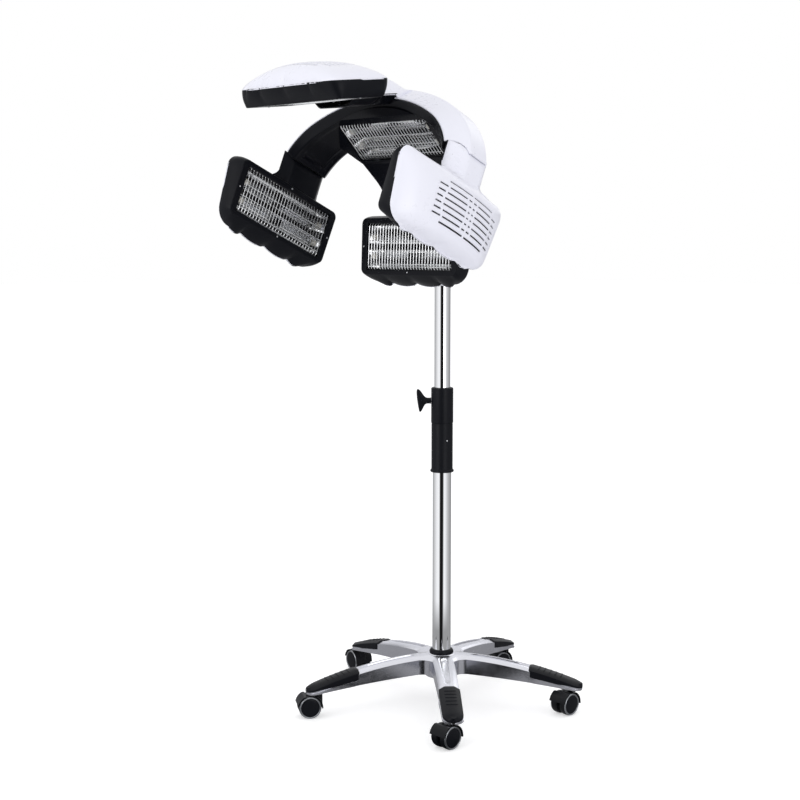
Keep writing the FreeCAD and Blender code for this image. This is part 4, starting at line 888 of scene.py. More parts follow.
@dataclass(frozen=True)
class Vents:
    """The rows of slots in a panel's back."""

    rows: int = 8
    pitch: float = 12.0
    width: float = 3.2
    half_width: float = 97.0
    edge_half_width: float = 73.0
    gap: float = 5.0

    def row_height(self, row: int) -> float:
        """Return the height of a row above the panel's middle."""
        return ((self.rows - 1) / 2 - row) * self.pitch

    def segments(self, row: int) -> list[tuple[float, float]]:
        """Return a row's slots on one side of the middle as (start, end) distances."""
        half = self.gap / 2
        if row in (0, self.rows - 1):
            return [(half, self.edge_half_width)]
        bow = (self.row_height(row) / self.row_height(0)) ** 2
        inner, outer = round(8.5 + 9.5 * bow), round(77.0 - 14.0 * bow)
        return [(half, inner), (inner + self.gap, outer), (outer + self.gap, self.half_width)]

    def holds(self, across: float, height: float) -> bool:
        """Tell whether a point of the panel's back lies in a slot."""
        for row in range(self.rows):
            if abs(height - self.row_height(row)) < self.width / 2:
                return any(start < abs(across) < end for start, end in self.segments(row))
        return False

    def columns(self) -> list[float]:
        """Return the distances from the middle at which some slot starts or ends."""
        ends = {round(value, 1) for row in range(self.rows) for pair in self.segments(row)
                for value in pair}
        return sorted(ends)

    def levels(self) -> list[float]:
        """Return the heights of the slots' edges, with a line between rows."""
        half = self.width / 2
        lines = []
        for row in range(self.rows):
            height = self.row_height(row)
            lines += [height - half, height + half, height - self.pitch / 2]
        return sorted(lines + [self.row_height(0) + self.pitch / 2])


# ======== necks
@dataclass(frozen=True)
class Neck:
    """A panel's neck and the knuckle at its end, in the panel's axes."""

    shift: float
    height: float
    outward: float
    half: float = 62.5
    knuckle: float = 27.0
    out_bevel: float = 35.0
    in_bevel: float = 19.0
    fillet: float = 20.0
    foot: float = 74.0

    @property
    def parting(self) -> float:
        """The height of the seam between the neck's two halves."""
        return self.outward + self.knuckle - self.out_bevel

    def half_width(self, height: float) -> float:
        """Return half the neck's width, flared where it leaves the panel."""
        rest = max(self.foot + self.fillet - height, 0.0)
        rest = min(rest, self.fillet)
        return self.half + self.fillet - math.sqrt(self.fillet ** 2 - rest ** 2)

    def edge(self, height: float) -> float:
        """Return how far out the seam between the halves lies."""
        return self.parting * smooth_step(height, self.foot, self.foot + self.fillet)

    def skin(self, across: float, height: float, side: int) -> float:
        """Return how far out the neck's surface lies.

        Args:
            across: The distance from the neck's middle.
            height: The height in the panel's axes.
            side: +1 for the outer half and -1 for the inner half.

        Returns:
            The surface's distance from the panel's seam plane, outward positive.
        """
        bevel = self.out_bevel if side > 0 else self.in_bevel
        inset = self.half - abs(across)
        rise = -smooth_max(-inset, -bevel, 6.0)
        reach = side * self.parting + rise
        if height > self.height:
            bar = self.knuckle ** 2 - (height - self.height) ** 2
            limit = side * self.outward + math.sqrt(max(bar, 0.0))
            reach = min(reach, limit)
        floor = side * self.edge(height)
        return side * smooth_max(reach, floor, 3.0 if height < self.foot + self.fillet else 0.01)

    def rows(self) -> list[float]:
        """Return the heights at which the neck's surface is drawn, up to the knuckle's end."""
        straight = [self.foot + (self.height - self.foot) * k / 16 for k in range(17)]
        reach = math.sqrt(self.knuckle ** 2 - (self.outward - self.parting) ** 2)
        top = [self.height + reach * math.sin(math.pi / 2 * k / 14) for k in range(1, 15)]
        return straight + top


# ======== panels
@dataclass
class Panel:
    """A hinged heater panel: cover, housing, neck and its heater."""

    name: str
    form: PanelForm = field(default_factory=PanelForm)
    vents: Vents = field(default_factory=Vents)
    ring_steps: int = 14
    dimple: float = 6.5
    dimple_half: float = 11.0
    screw_radius: float = 1.9

    def __post_init__(self) -> None:
        """Find the panel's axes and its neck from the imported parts."""
        self.body = self.name + "_panel"
        pivot = anchor(self.body + "_tilt")
        self.place = heater_place(self.name, pivot, self.form)
        spot = self.place.local(pivot)
        self.neck = Neck(spot.x, spot.y, spot.z)

    def build(self) -> None:
        """Build and dress the whole panel."""
        self.build_cover()
        self.build_housing()
        Heater(self.name, self.place, self.body, self.form).build()
        self.build_screws()

    def crown(self, spot: Vector, rim_share: float) -> float:
        """Return the cover's height: a long arc across the panel, fuller over its height.

        Args:
            spot: The point in the panel's axes.
            rim_share: How far the point lies toward the rim, 0 to 1.

        Returns:
            The height above the seam plane.
        """
        form = self.form
        half = form.low_half + (form.top_half - form.low_half) * (
            (spot.y + form.half_height) / (2 * form.half_height))
        along = min(abs(spot.x) / half, 1.0)
        over = min(abs(spot.y) / form.half_height, 1.0)
        long_arc = (1 - along ** 2.1) ** 0.72
        short_arc = (1 - over ** 3.6) ** 0.6
        close = (1 - rim_share ** 8) ** 0.6
        return form.rise * min(long_arc * short_arc, 1.0) * (0.25 + 0.75 * close) * close ** 0.3

    def build_cover(self) -> None:
        """Build the white crowned cover with its slots and the outer half of the neck."""
        skin, slots = Skin(), []
        middle = self.middle_grid(skin, slots)
        self.skirt(skin, middle)
        mesh = bpy.data.meshes.new("cover")
        mesh.from_pydata(skin.points, [], skin.faces)
        layer = mesh.attributes.new("slot", "BOOLEAN", "FACE")
        marked = set(slots)
        layer.data.foreach_set("value", [number in marked for number in range(len(skin.faces))])
        mesh = Repeat.SLOTS.grow(linked("cover_host", mesh), {"Material": WHITE.material()})
        cover = Skin()
        cover.points = [vertex.co.copy() for vertex in mesh.vertices]
        cover.faces = [tuple(face.vertices) for face in mesh.polygons]
        piece = cover.piece(self.name + "_cover_shell", self.place, 50.0, Z_AXIS)
        thicken(piece, self.form.wall)
        dress(piece, WHITE, self.body, self.name + "_panel_cover")

    def middle_grid(self, skin: Skin, slots: list[int]) -> list[int]:
        """Build the slotted middle of the cover.

        Args:
            skin: The skin that takes the points and faces.
            slots: Takes the numbers of the faces that are slots.

        Returns:
            The numbers of the points round the middle's edge, in order.
        """
        reach = self.vents.half_width + 6
        marks = [0.0] + self.vents.columns() + [reach]
        extra = []
        for low, high in zip(marks, marks[1:]):
            pieces = max(1, round((high - low) / 9))
            extra += [low + (high - low) * k / pieces for k in range(1, pieces)]
        half = sorted(set(marks + extra))
        across = [-value for value in reversed(half[1:])] + half
        levels = self.vents.levels()
        rows = []
        for height in levels:
            points = []
            for value in across:
                spot = Vector((self.neck.shift + value, height, 0))
                spot.z = self.crown(spot, 0.0)
                points.append(spot)
            rows.append(skin.row(points))
        for j, (low, high) in enumerate(zip(rows, rows[1:])):
            skin.bridge(low, high)
            centre = (levels[j] + levels[j + 1]) / 2
            for i in range(len(across) - 1):
                if self.vents.holds((across[i] + across[i + 1]) / 2, centre):
                    slots.append(len(skin.faces) - (len(across) - 1) + i)
        return (rows[0] + [row[-1] for row in rows[1:]] + rows[-1][-2::-1]
                + [row[0] for row in rows[-2:0:-1]])

    def skirt(self, skin: Skin, edge: list[int]) -> None:
        """Build the cover from its middle out to the rim, and the neck's outer half."""
        rim = self.form.rim()
        centre = Vector((self.neck.shift, 0, 0))
        hits = [ray_hit(rim, centre, skin.points[number] - centre) for number in edge]
        previous = edge
        on_neck = [hit.y > self.form.half_height - 0.01
                   and abs(hit.x - self.neck.shift) < self.neck.half_width(self.neck.foot)
                   for hit in hits]
        for k in range(1, self.ring_steps + 1):
            share = math.sin(math.pi / 2 * k / self.ring_steps)
            points = []
            for number, hit in zip(edge, hits):
                spot = skin.points[number].lerp(hit, share)
                spot.z = self.cover_height(spot, share)
                points.append(spot)
            ring = skin.row(points)
            skin.bridge(previous, ring, True)
            previous = ring
        self.outer_neck(skin, previous, on_neck)

    def cover_height(self, spot: Vector, share: float) -> float:
        """Return the cover's height at a point between its middle and its rim."""
        height = self.crown(spot, share)
        if spot.y < 0:
            for notch in self.form.notches:
                near = math.exp(-((spot.x - notch - 4) / self.dimple_half) ** 2)
                height -= self.dimple * near * smooth_step(share, 0.5, 0.85) * min(
                    height / 14.0, 1.0)
        across = spot.x - self.neck.shift
        if spot.y > 0:
            flare = self.neck.half_width(self.neck.foot)
            if abs(across) < flare:
                stub = self.neck.skin(across, max(spot.y, self.neck.foot), 1)
                height = smooth_max(height, stub, 10.0)
        return max(height, self.form.seam)

    def outer_neck(self, skin: Skin, ring: list[int], on_neck: list[bool]) -> None:
        """Carry the rim's neck points up the neck and over its knuckle."""
        chosen = [number for number, inside in zip(ring, on_neck) if inside]
        chosen.sort(key=lambda number: skin.points[number].x)
        flare = self.neck.half_width(self.neck.foot)
        shares = [(skin.points[number].x - self.neck.shift) / flare for number in chosen]
        previous = chosen
        for height in self.neck.rows()[1:]:
            width = self.neck.half_width(height)
            blend = smooth_step(height, self.neck.foot, self.neck.foot + 8)
            points = []
            for share, base in zip(shares, chosen):
                level = self.neck.skin(share * width, height, 1)
                level = skin.points[base].z * (1 - blend) + level * blend
                points.append(Vector((self.neck.shift + share * width, height, level)))
            row = skin.row(points)
            skin.bridge(previous, row)
            previous = row

    def build_housing(self) -> None:
        """Build the black scalloped housing, its bezel and the inner half of the neck."""
        form = self.form
        rim, face = form.rim(), form.face()
        skin = Skin()
        rows = []
        for share in (0.0, 0.06, 0.2, 0.4, 0.6, 0.8, 0.94, 1.0):
            bow = 3.0 * math.sin(math.pi * share)
            points = []
            for outer, inner in zip(rim, face):
                spot = outer.lerp(inner, share)
                spot += Vector((spot.x, spot.y, 0)).normalized() * bow
                spot.z = -form.depth * share
                points.append(spot)
            rows.append(points)
        window = [self.window_point(point) for point in face]
        snap_corners(window, form)
        for inset, drop in ((0.0, 0.0), (1.0, 1.2), (1.2, 6.0)):
            rows.append([Vector((point.x - math.copysign(inset, point.x),
                                 point.y - math.copysign(inset, point.y - form.window_mid),
                                 -form.depth + drop)) for point in window])
        skin.sheet([row + row[:1] for row in rows])
        piece = skin.piece(self.name + "_housing_tray", self.place, 38.0, -Z_AXIS)
        round_edges(piece, 1.6, 3, 38.0)
        thicken(piece, form.wall * 0.6)
        dress(piece, BLACK, self.body, self.name + "_panel_housing")
        self.inner_neck()

    def window_point(self, point: Vector) -> Vector:
        """Return where the line from the window's middle to a face point crosses the window."""
        form = self.form
        way = point - Vector((0, form.window_mid, 0))
        reach = min(form.window_w / 2 / max(abs(way.x), 1e-6),
                    form.window_h / 2 / max(abs(way.y), 1e-6))
        return Vector((way.x * reach, form.window_mid + way.y * reach, 0))

    def inner_neck(self) -> None:
        """Build the black inner half of the neck and its knuckle."""
        neck, skin = self.neck, Skin()
        start = self.form.face_top - 6
        rows = []
        for height in [start, neck.foot - 3] + neck.rows():
            width = neck.half_width(max(height, neck.foot))
            points = []
            for k in range(2 * HALF_COLUMNS + 1):
                across = width * math.sin(math.pi / 2 * (k / HALF_COLUMNS - 1))
                level = neck.skin(across, max(height, neck.foot), -1)
                points.append(Vector((neck.shift + across, height, level)))
            rows.append(points)
        skin.sheet(rows)
        piece = skin.piece(self.name + "_neck_liner", self.place, 50.0, -Z_AXIS)
        thicken(piece, self.form.wall)
        dress(piece, BLACK, self.body)

    def build_screws(self) -> None:
        """Build the small screws of the bezel."""
        form = self.form
        level = -form.depth - 0.2
        side = (form.window_w / 2 + form.face_half) / 2
        spots = [(side, form.window_mid), (-side, form.window_mid), (0.0, 62.0), (0.0, -51.0)]
        down, along = -Z_AXIS, X_AXIS
        places = [(Vector((x, y, level)), down, along) for x, y in spots]
        piece = copies_on(self.name + "_bezel_screws", places, screw_pattern(self.screw_radius),
                          STEEL, self.place)
        dress(piece, STEEL, self.body)


def snap_corners(window: Row, form: PanelForm) -> None:
    """Move the points nearest to a window's corners onto them."""
    for sign_x in (-1, 1):
        for sign_y in (-1, 1):
            corner = Vector((sign_x * form.window_w / 2,
                             form.window_mid + sign_y * form.window_h / 2, 0))
            nearest = min(range(len(window)), key=lambda i: (window[i] - corner).length)
            window[nearest] = corner


def ray_hit(outline: Row, centre: Vector, way: Vector) -> Vector:
    """Return where a ray from inside an outline crosses it."""
    best = None
    flat = Vector((way.x, way.y)).normalized()
    for i, start in enumerate(outline):
        end = outline[(i + 1) % len(outline)]
        side_a = flat.x * (start.y - centre.y) - flat.y * (start.x - centre.x)
        side_b = flat.x * (end.y - centre.y) - flat.y * (end.x - centre.x)
        if side_a * side_b > 0 or side_a == side_b:
            continue
        point = start.lerp(end, side_a / (side_a - side_b))
        reach = (point.x - centre.x) * flat.x + (point.y - centre.y) * flat.y
        if reach > 0 and (best is None or reach < best[0]):
            best = (reach, point)
    return Vector((best[1].x, best[1].y, 0))


def heater_place(name: str, toward: Vector | None, form: PanelForm) -> Place:
    """Find a heater's axes from its flat guard.

    Args:
        name: The heater's name, the start of its nodes' names.
        toward: A point on the heater's upper side, or None where up is simply up.
        form: The panel's sizes.

    Returns:
        The heater's place.
    """
    points = node_points(name + "_guard")
    axes = np.linalg.svd(points - points.mean(0), full_matrices=False)[2]
    spans = [(points @ axis).min() + (points @ axis).max() for axis in axes]
    middle = Vector(sum(axis * span / 2 for axis, span in zip(axes, spans)))
    out = Vector(axes[2])
    if out.dot(node_middle(name + "_reflector") - middle) < 0:
        out.negate()
    up = Vector(axes[1])
    if up.dot(toward - middle if toward else Z_AXIS) < 0:
        up.negate()
    across = up.cross(out)
    guard_middle = -form.depth + form.guard_inset
    origin = middle - up * form.window_mid - out * guard_middle
    return Place(origin, across, up, out)


# ======== heaters
@dataclass
class Heater:
    """A guard of wires, a folded reflector and two quartz lamps behind it."""

    name: str
    place: Place
    body: str
    form: PanelForm
    wires: int = 29
    wire_radius: float = 0.95
    long_wires: int = 4
    guard_lift: float = 0.7
    stay_drop: float = 1.8
    hook: float = 4.0
    reflector_depth: float = 30.0
    end_slope: float = 20.0
    lamp_radius: float = 5.0
    lamp_pitch: float = 42.0
    lamp_lift: float = 13.0
    clip_at: float = -0.1

    def build(self) -> None:
        """Build and dress the heater."""
        self.build_guard()
        self.build_reflector()
        self.build_lamps()

    def build_guard(self) -> None:
        """Build the guard's short and long wires."""
        form = self.form
        level = -form.depth + self.guard_lift
        lift = Matrix.Translation((0, form.window_mid, level))
        across = Matrix.Translation((0, form.window_mid, level + self.stay_drop))
        for label, count, pitch, length, turn, nodes in (
                ("wires", self.wires, form.window_w / (self.wires + 0.6), form.window_h - 1.0,
                 lift, [self.name + "_guard"]),
                ("stays", self.long_wires, form.window_h / self.long_wires, form.window_w - 1.0,
                 across @ Matrix.Rotation(math.pi / 2, 4, "Z"), [])):
            rods = grown(Repeat.RODS, f"{self.name}_guard_{label}", {
                "Count": count, "Pitch": pitch, "Length": length, "Radius": self.wire_radius,
                "Hook": self.hook}, WIRE, turn, self.place)
            dress(rods, WIRE, self.body, *nodes)

    def build_reflector(self) -> None:
        """Build the folded reflector: bright bands behind the lamps, painted shade on the rest."""
        form = self.form
        half_w, half_h = form.window_w / 2 - 0.8, form.window_h / 2 - 0.8
        top = -form.depth + form.wall
        deep = top + self.reflector_depth - 2
        fold = [(1.0, top), (0.90, deep - 16), (0.70, deep - 4), (0.56, deep - 1),
                (0.30, deep - 1.5), (0.14, deep - 6)]
        profile = [(-half_h * share, z) for share, z in fold] + [(0.0, deep - 11)]
        profile += [(half_h * share, z) for share, z in reversed(fold)]
        # Facets listed here get the bright sheet; the rest get the dark copy, a painted shade and painted dark
        # reflection.
        bright = (1, 3, 4, 7, 8, 10)
        ends = half_w - self.end_slope
        stations = [-half_w] + [ends * (k / 9 - 1) for k in range(19)] + [half_w]
        for finish, label in ((SHEET, "bands"), (PAINTED_SHADE_SHEET, "sheet")):
            skin = Skin()
            for number in range(len(profile) - 1):
                if (number in bright) != (finish is SHEET):
                    continue
                rows = []
                for x in stations:
                    flat = abs(x) > half_w - 0.1
                    rows.append([Vector((x, form.window_mid + y, top if flat else z))
                                 for y, z in profile[number:number + 2]])
                skin.sheet(rows)
            piece = skin.piece(f"{self.name}_reflector_{label}", self.place, 12.0,
                               -Z_AXIS)
            thicken(piece, 0.8)
            nodes = [self.name + "_reflector"] if finish is SHEET else []
            dress(piece, finish, self.body, *nodes)

    def build_lamps(self) -> None:
        """Build the quartz tubes, their filaments, ends and middle holders."""
        form = self.form
        level = -form.depth + form.wall + self.lamp_lift
        half = form.window_w / 2 - 8
        glass, ends, holders = Skin(), Skin(), Skin()
        wound = []
        for sign in (-1, 1):
            y = form.window_mid + sign * self.lamp_pitch / 2
            radius, wall = self.lamp_radius, 1.0
            add_turned(glass, tube_profile(radius, radius - wall, -half + 8, half - 8, 0.2),
                       Vector((0, y, level)), X_AXIS, 24)
            for end in (-1, 1):
                start = Vector((end * half, y, level))
                add_turned(ends, [(0, 0), (6.4, 0), (6.8, 0.5), (6.8, 9), (6.2, 10), (5.2, 10.4),
                                  (5.2, 12), (0, 12)], start, Vector((-end, 0, 0)), 20)
            add_turned(holders, [(5.2, -9), (7.4, -9), (8.2, -8), (8.2, 8), (7.4, 9), (5.2, 9),
                                 (5.2, -9)], Vector((self.clip_at, y, level)),
                       X_AXIS, 20)
            add_block(holders, (-8, 8), (y - 5, y + 5), (level + 5.5, level + 13))
            wound.append(y)
        tubes = glass.piece(self.name + "_quartz_tubes", self.place)
        dress(tubes, QUARTZ, self.body, self.name + "_lamps")
        caps = ends.piece(self.name + "_lamp_ends", self.place, 30.0)
        dress(caps, CERAMIC, self.body)
        clips = holders.piece(self.name + "_lamp_holders", self.place, 30.0)
        dress(clips, BLACK, self.body)
        meshes = []
        for y in wound:
            turn = Matrix.Translation((-half + 14, y, level)) @ Matrix.Rotation(math.pi / 2, 4, "Y")
            meshes.append(grown(Repeat.COIL, self.name + "_filament", {
                "Turns": 46.0, "Radius": 2.1, "Length": 2 * half - 28, "Wire Radius": 0.45},
                FILAMENT, turn, self.place))
        coils = joined(meshes, self.name + "_filaments")
        dress(coils, FILAMENT, self.body)


def joined(pieces: Sequence[Object], name: str) -> Object:
    """Join pieces into one object."""
    whole = bmesh.new()
    for piece in pieces:
        whole.from_mesh(piece.data)
        bpy.data.objects.remove(piece)
    mesh = bpy.data.meshes.new(name)
    whole.to_mesh(mesh)
    whole.free()
    return show(mesh, name)


def add_turned(skin: Skin, profile: Sequence[tuple[float, float]], origin: Vector, axis: Vector,
               sides: int) -> None:
    """Add a turned form about an axis to a skin."""
    turn = axis.to_track_quat("Z", "Y").to_matrix()
    rows = []
    for k in range(sides):
        angle = 2 * math.pi * k / sides
        rows.append([origin + turn @ polar(radius, angle, height) for radius, height in profile])
    rows.append(rows[0])
    skin.sheet(rows)


def add_block(skin: Skin, x: tuple[float, float], y: tuple[float, float],
              z: tuple[float, float]) -> None:
    """Add a box to a skin."""
    rings = [[Vector((x[0], y[0], level)), Vector((x[1], y[0], level)),
              Vector((x[1], y[1], level)), Vector((x[0], y[1], level))] for level in z]
    skin.solid(rings)


# ======== head
@dataclass
class Arch:
    """The leaned arch of the head: white cover outside, black liner inside."""

    shoulder_r: float = 150.0
    shoulder_x: float = 97.0
    shoulder_deg: float = 60.0
    depth: float = 125.0
    out: float = 37.0
    inn: float = 20.0
    wall: float = 2.6
    knuckle_t: float = 41.0
    knuckle_x: float = 247.5
    seat: float = 28.7
    lip: float = 12.0
    recess: float = 3.0
    recess_margin: float = 30.0
    recess_from_deg: float = 5.0
    recess_to_deg: float = 71.0
    recess_ramp_deg: float = 2.0
    liner_inset: float = 0.8
    shoulder_fillet: float = 9.0
    steps: int = 40

    def __post_init__(self) -> None:
        """Find the arch's axes from the side panels' hinges."""
        left, right = anchor("left_panel_tilt"), anchor("right_panel_tilt")
        up = heater_place("left", left, PanelForm()).up
        across = X_AXIS
        front = across.cross(up)
        middle = (left + right) / 2
        self.place = Place(middle - up * self.knuckle_t + front * self.depth / 2, across, up, front)

    def point(self, offset: float, depth: float, angle: float) -> Vector:
        """Return a point of the arch: offset outward, depth behind the front, by its angle."""
        turn = math.radians(self.shoulder_deg)
        if angle < turn:
            centre, radius = Vector((self.shoulder_x, 0, 0)), self.shoulder_r
        elif angle > math.pi - turn:
            centre, radius = Vector((-self.shoulder_x, 0, 0)), self.shoulder_r
        else:
            centre = Vector((0, -self.shoulder_x * math.tan(turn), 0))
            radius = self.shoulder_r + self.shoulder_x / math.cos(turn)
        reach = radius + offset
        return centre + polar(reach, angle, -depth)

    def first_angle(self, offset: float) -> float:
        """Return the angle at which an arm ends over its knuckle."""
        low, high = 0.0, math.radians(50)
        for _ in range(30):
            middle = (low + high) / 2
            spot = self.point(offset, 0.0, middle)
            beside = abs(spot.x - self.knuckle_x)
            seat = math.sqrt(max(self.seat ** 2 - beside ** 2, 0.0))
            if spot.y - self.knuckle_t < max(self.lip, seat):
                low = middle
            else:
                high = middle
        return high

    def angles(self, offset: float) -> list[float]:
        """Return the angles at which the arch is drawn, from one arm's end to the other's."""
        start = self.first_angle(offset)
        turn = math.radians(self.shoulder_deg)
        half = [start + (turn - start) * k / self.steps for k in range(self.steps)]
        half += [turn + (math.pi / 2 - turn) * k / self.steps for k in range(self.steps + 1)]
        return half + [math.pi - angle for angle in reversed(half[:-1])]

    def sweep(self, name: str, section: Row, wall: float, facing: int,
              carve: Callable[[float, float], float] | None = None) -> Object:
        """Sweep an (offset, depth) section along the arch.

        Args:
            name: The piece's name.
            section: The section's points, offset in x and depth in y.
            wall: The sheet's thickness.
            facing: +1 where the sheet looks outward and -1 where it looks inward.
            carve: Gives how far a point is moved outward from its depth and its angle.

        Returns:
            The piece.
        """
        skin = Skin()
        rows = []
        for mark in section:
            row = []
            for angle in self.angles(mark.x):
                lift = carve(mark.y, angle) if carve else 0.0
                row.append(self.point(mark.x + lift, mark.y, angle))
            rows.append(row)
        skin.sheet(rows)
        piece = skin.piece(name, self.place, 50.0, Vector((0, facing, 0)))
        thicken(piece, wall)
        return piece

    def build(self) -> None:
        """Build and dress the arch's cover and liner."""
        run = self.out
        corners = [ORIGIN, Vector((self.out, run, 0)),
                   Vector((self.out, self.depth - run, 0)), Vector((0, self.depth, 0))]
        section = rounded_row(corners, [0, self.shoulder_fillet, self.shoulder_fillet, 0], 6, 5.0,
                              closed=False)
        cover = self.sweep("arch_cover", section, self.wall, 1)
        dress(cover, WHITE, "head", "crown_cover")
        run = self.inn - 2 * self.wall
        inner = -2 * self.wall
        near, far = self.liner_inset, self.depth - self.liner_inset
        corners = [Vector((-self.wall, near, 0)), Vector((inner, near, 0)),
                   Vector((-self.inn, run, 0)), Vector((-self.inn, self.depth - run, 0)),
                   Vector((inner, far, 0)), Vector((-self.wall, far, 0))]
        section = rounded_row(corners, [0, 1.5, 4, 4, 1.5, 0], 4, 2.0, closed=False)
        liner = self.sweep("arch_liner", section, self.wall, -1, self.carved)
        dress(liner, GLOSS_BLACK, "head", "crown_liner")

    def carved(self, depth: float, angle: float) -> float:
        """Return how deep the long recess on the inside of an arm is."""
        side = min(angle, math.pi - angle)
        start = self.first_angle(-self.inn) + math.radians(self.recess_from_deg)
        end, ramp = math.radians(self.recess_to_deg), math.radians(self.recess_ramp_deg)
        near, far = self.recess_margin, self.depth - self.recess_margin
        along = smooth_step(side, start, start + ramp) * (1 - smooth_step(side, end, end + ramp))
        wide = smooth_step(depth, near, near + 2) * (1 - smooth_step(depth, far - 2, far))
        return self.recess * along * wide


@dataclass
class Head:
    """The arch, the fixed front neck, the hood, the back and the controls."""

    front_neck_length: float = 116.0
    fairing: float = 44.0
    side_drop: float = 24.0
    lip: float = 12.0
    seat: float = 27.4

    def build(self) -> None:
        """Build and dress the head."""
        self.arch = Arch()
        self.arch.build()
        self.build_front_neck()
        soften("crown_hood", GLOSS_BLACK, "head", 1.2, 42.0)
        soften("rear_cover", WHITE, "head", 2.0, 42.0)
        form = PanelForm()
        place = heater_place("crown", None, form)
        Heater("crown", place, "head", form).build()
        self.build_controls()

    def build_front_neck(self) -> None:
        """Build the two halves of the fixed neck over the front panel's knuckle."""
        panel = Panel("front")
        neck = panel.neck
        straight = Neck(neck.shift, neck.height, neck.outward, foot=-1000.0)
        for side, finish in ((1, WHITE), (-1, GLOSS_BLACK)):
            columns = []
            for k in range(2 * HALF_COLUMNS + 1):
                across = neck.half * math.sin(math.pi / 2 * (k / HALF_COLUMNS - 1))
                level = straight.skin(across, neck.height - 1, side)
                beside = abs(level - neck.outward)
                start = neck.height + max(
                    self.lip, math.sqrt(max(self.seat ** 2 - beside ** 2, 0.0)))
                end = neck.height + self.front_neck_length - (self.fairing if side > 0 else 0)
                column = [Vector((neck.shift + across, start + (end - start) * j / 12, level))
                          for j in range(13)]
                if side > 0:
                    share = (level - straight.parting) / (neck.outward + neck.knuckle
                                                          - straight.parting)
                    column += self.fair(panel.place, column[-1], share)
                columns.append(column)
            if side > 0:
                columns = [self.dropped(columns[0]), *columns, self.dropped(columns[-1])]
            skin = Skin()
            skin.sheet(columns)
            piece = skin.piece("front_neck_" + ("top" if side > 0 else "under"), panel.place, 50.0,
                               Vector((0, 0, side)))
            thicken(piece, self.arch.wall)
            dress(piece, finish, "head")

    def dropped(self, edge: Row) -> Row:
        """Return an edge of the neck's top let down where it lies on the arch."""
        return [point - Vector((0, 0, self.side_drop * smooth_step(j, 11, 14)))
                for j, point in enumerate(edge)]

    def fair(self, place: Place, start: Vector, share: float) -> Row:
        """Return the points that carry a neck's line smoothly onto the arch.

        Args:
            place: The front panel's axes, which the points are in.
            start: The line's last point.
            share: 1 on the neck's flat top and 0 at its edges.

        Returns:
            The points after the start.
        """
        world = place.at(*start)
        arch = self.arch
        turn = math.radians(arch.shoulder_deg)
        radius = arch.shoulder_r + arch.shoulder_x / math.cos(turn) + arch.out
        angle = math.acos(world.x / radius)
        blend = smooth_step(share, 0.0, 0.8)
        depth = 42.0 + 24.0 * blend
        landing = place.local(arch.place.at(*arch.point(arch.out - 0.4, depth, angle)))
        behind = place.local(arch.place.at(*arch.point(arch.out - 0.4, depth + 10, angle)))
        away = (behind - landing).normalized()
        reach = (landing - start).length
        leave, arrive = Vector((0, reach, 0)), away * reach
        points = []
        for k in range(1, 11):
            t = k / 10
            points.append(start * (2 * t ** 3 - 3 * t ** 2 + 1) + leave * (t ** 3 - 2 * t ** 2 + t)
                          + landing * (3 * t ** 2 - 2 * t ** 3) + arrive * (t ** 3 - t ** 2))
        return points

    def build_controls(self) -> None:
        """Dress the controls, the gland, the socket, and the knuckles' blocks and pins."""
        for node, finish, body, width in (
                ("control_plate", BLACK, "head", 0.5), ("display_window", SMOKED, "head", 0.4),
                ("control_board", BOARD, "head", 0.1), ("key_1", WHEEL_GREY, "key_1", 0.8),
                ("key_2", WHEEL_GREY, "key_2", 0.8), ("key_3", WHEEL_GREY, "key_3", 0.8),
                ("rocker_switch", GLOSS_BLACK, "rocker", 0.6), ("cord_gland", NYLON, "head", 0.6),
                ("head_socket", SOCKET_PAINT, "head", 0.8), ("knuckle_blocks", NYLON, "head", 0.6),
                ("pivot_pins", STEEL, "head", 0.3)):
            soften(node, finish, body, width)


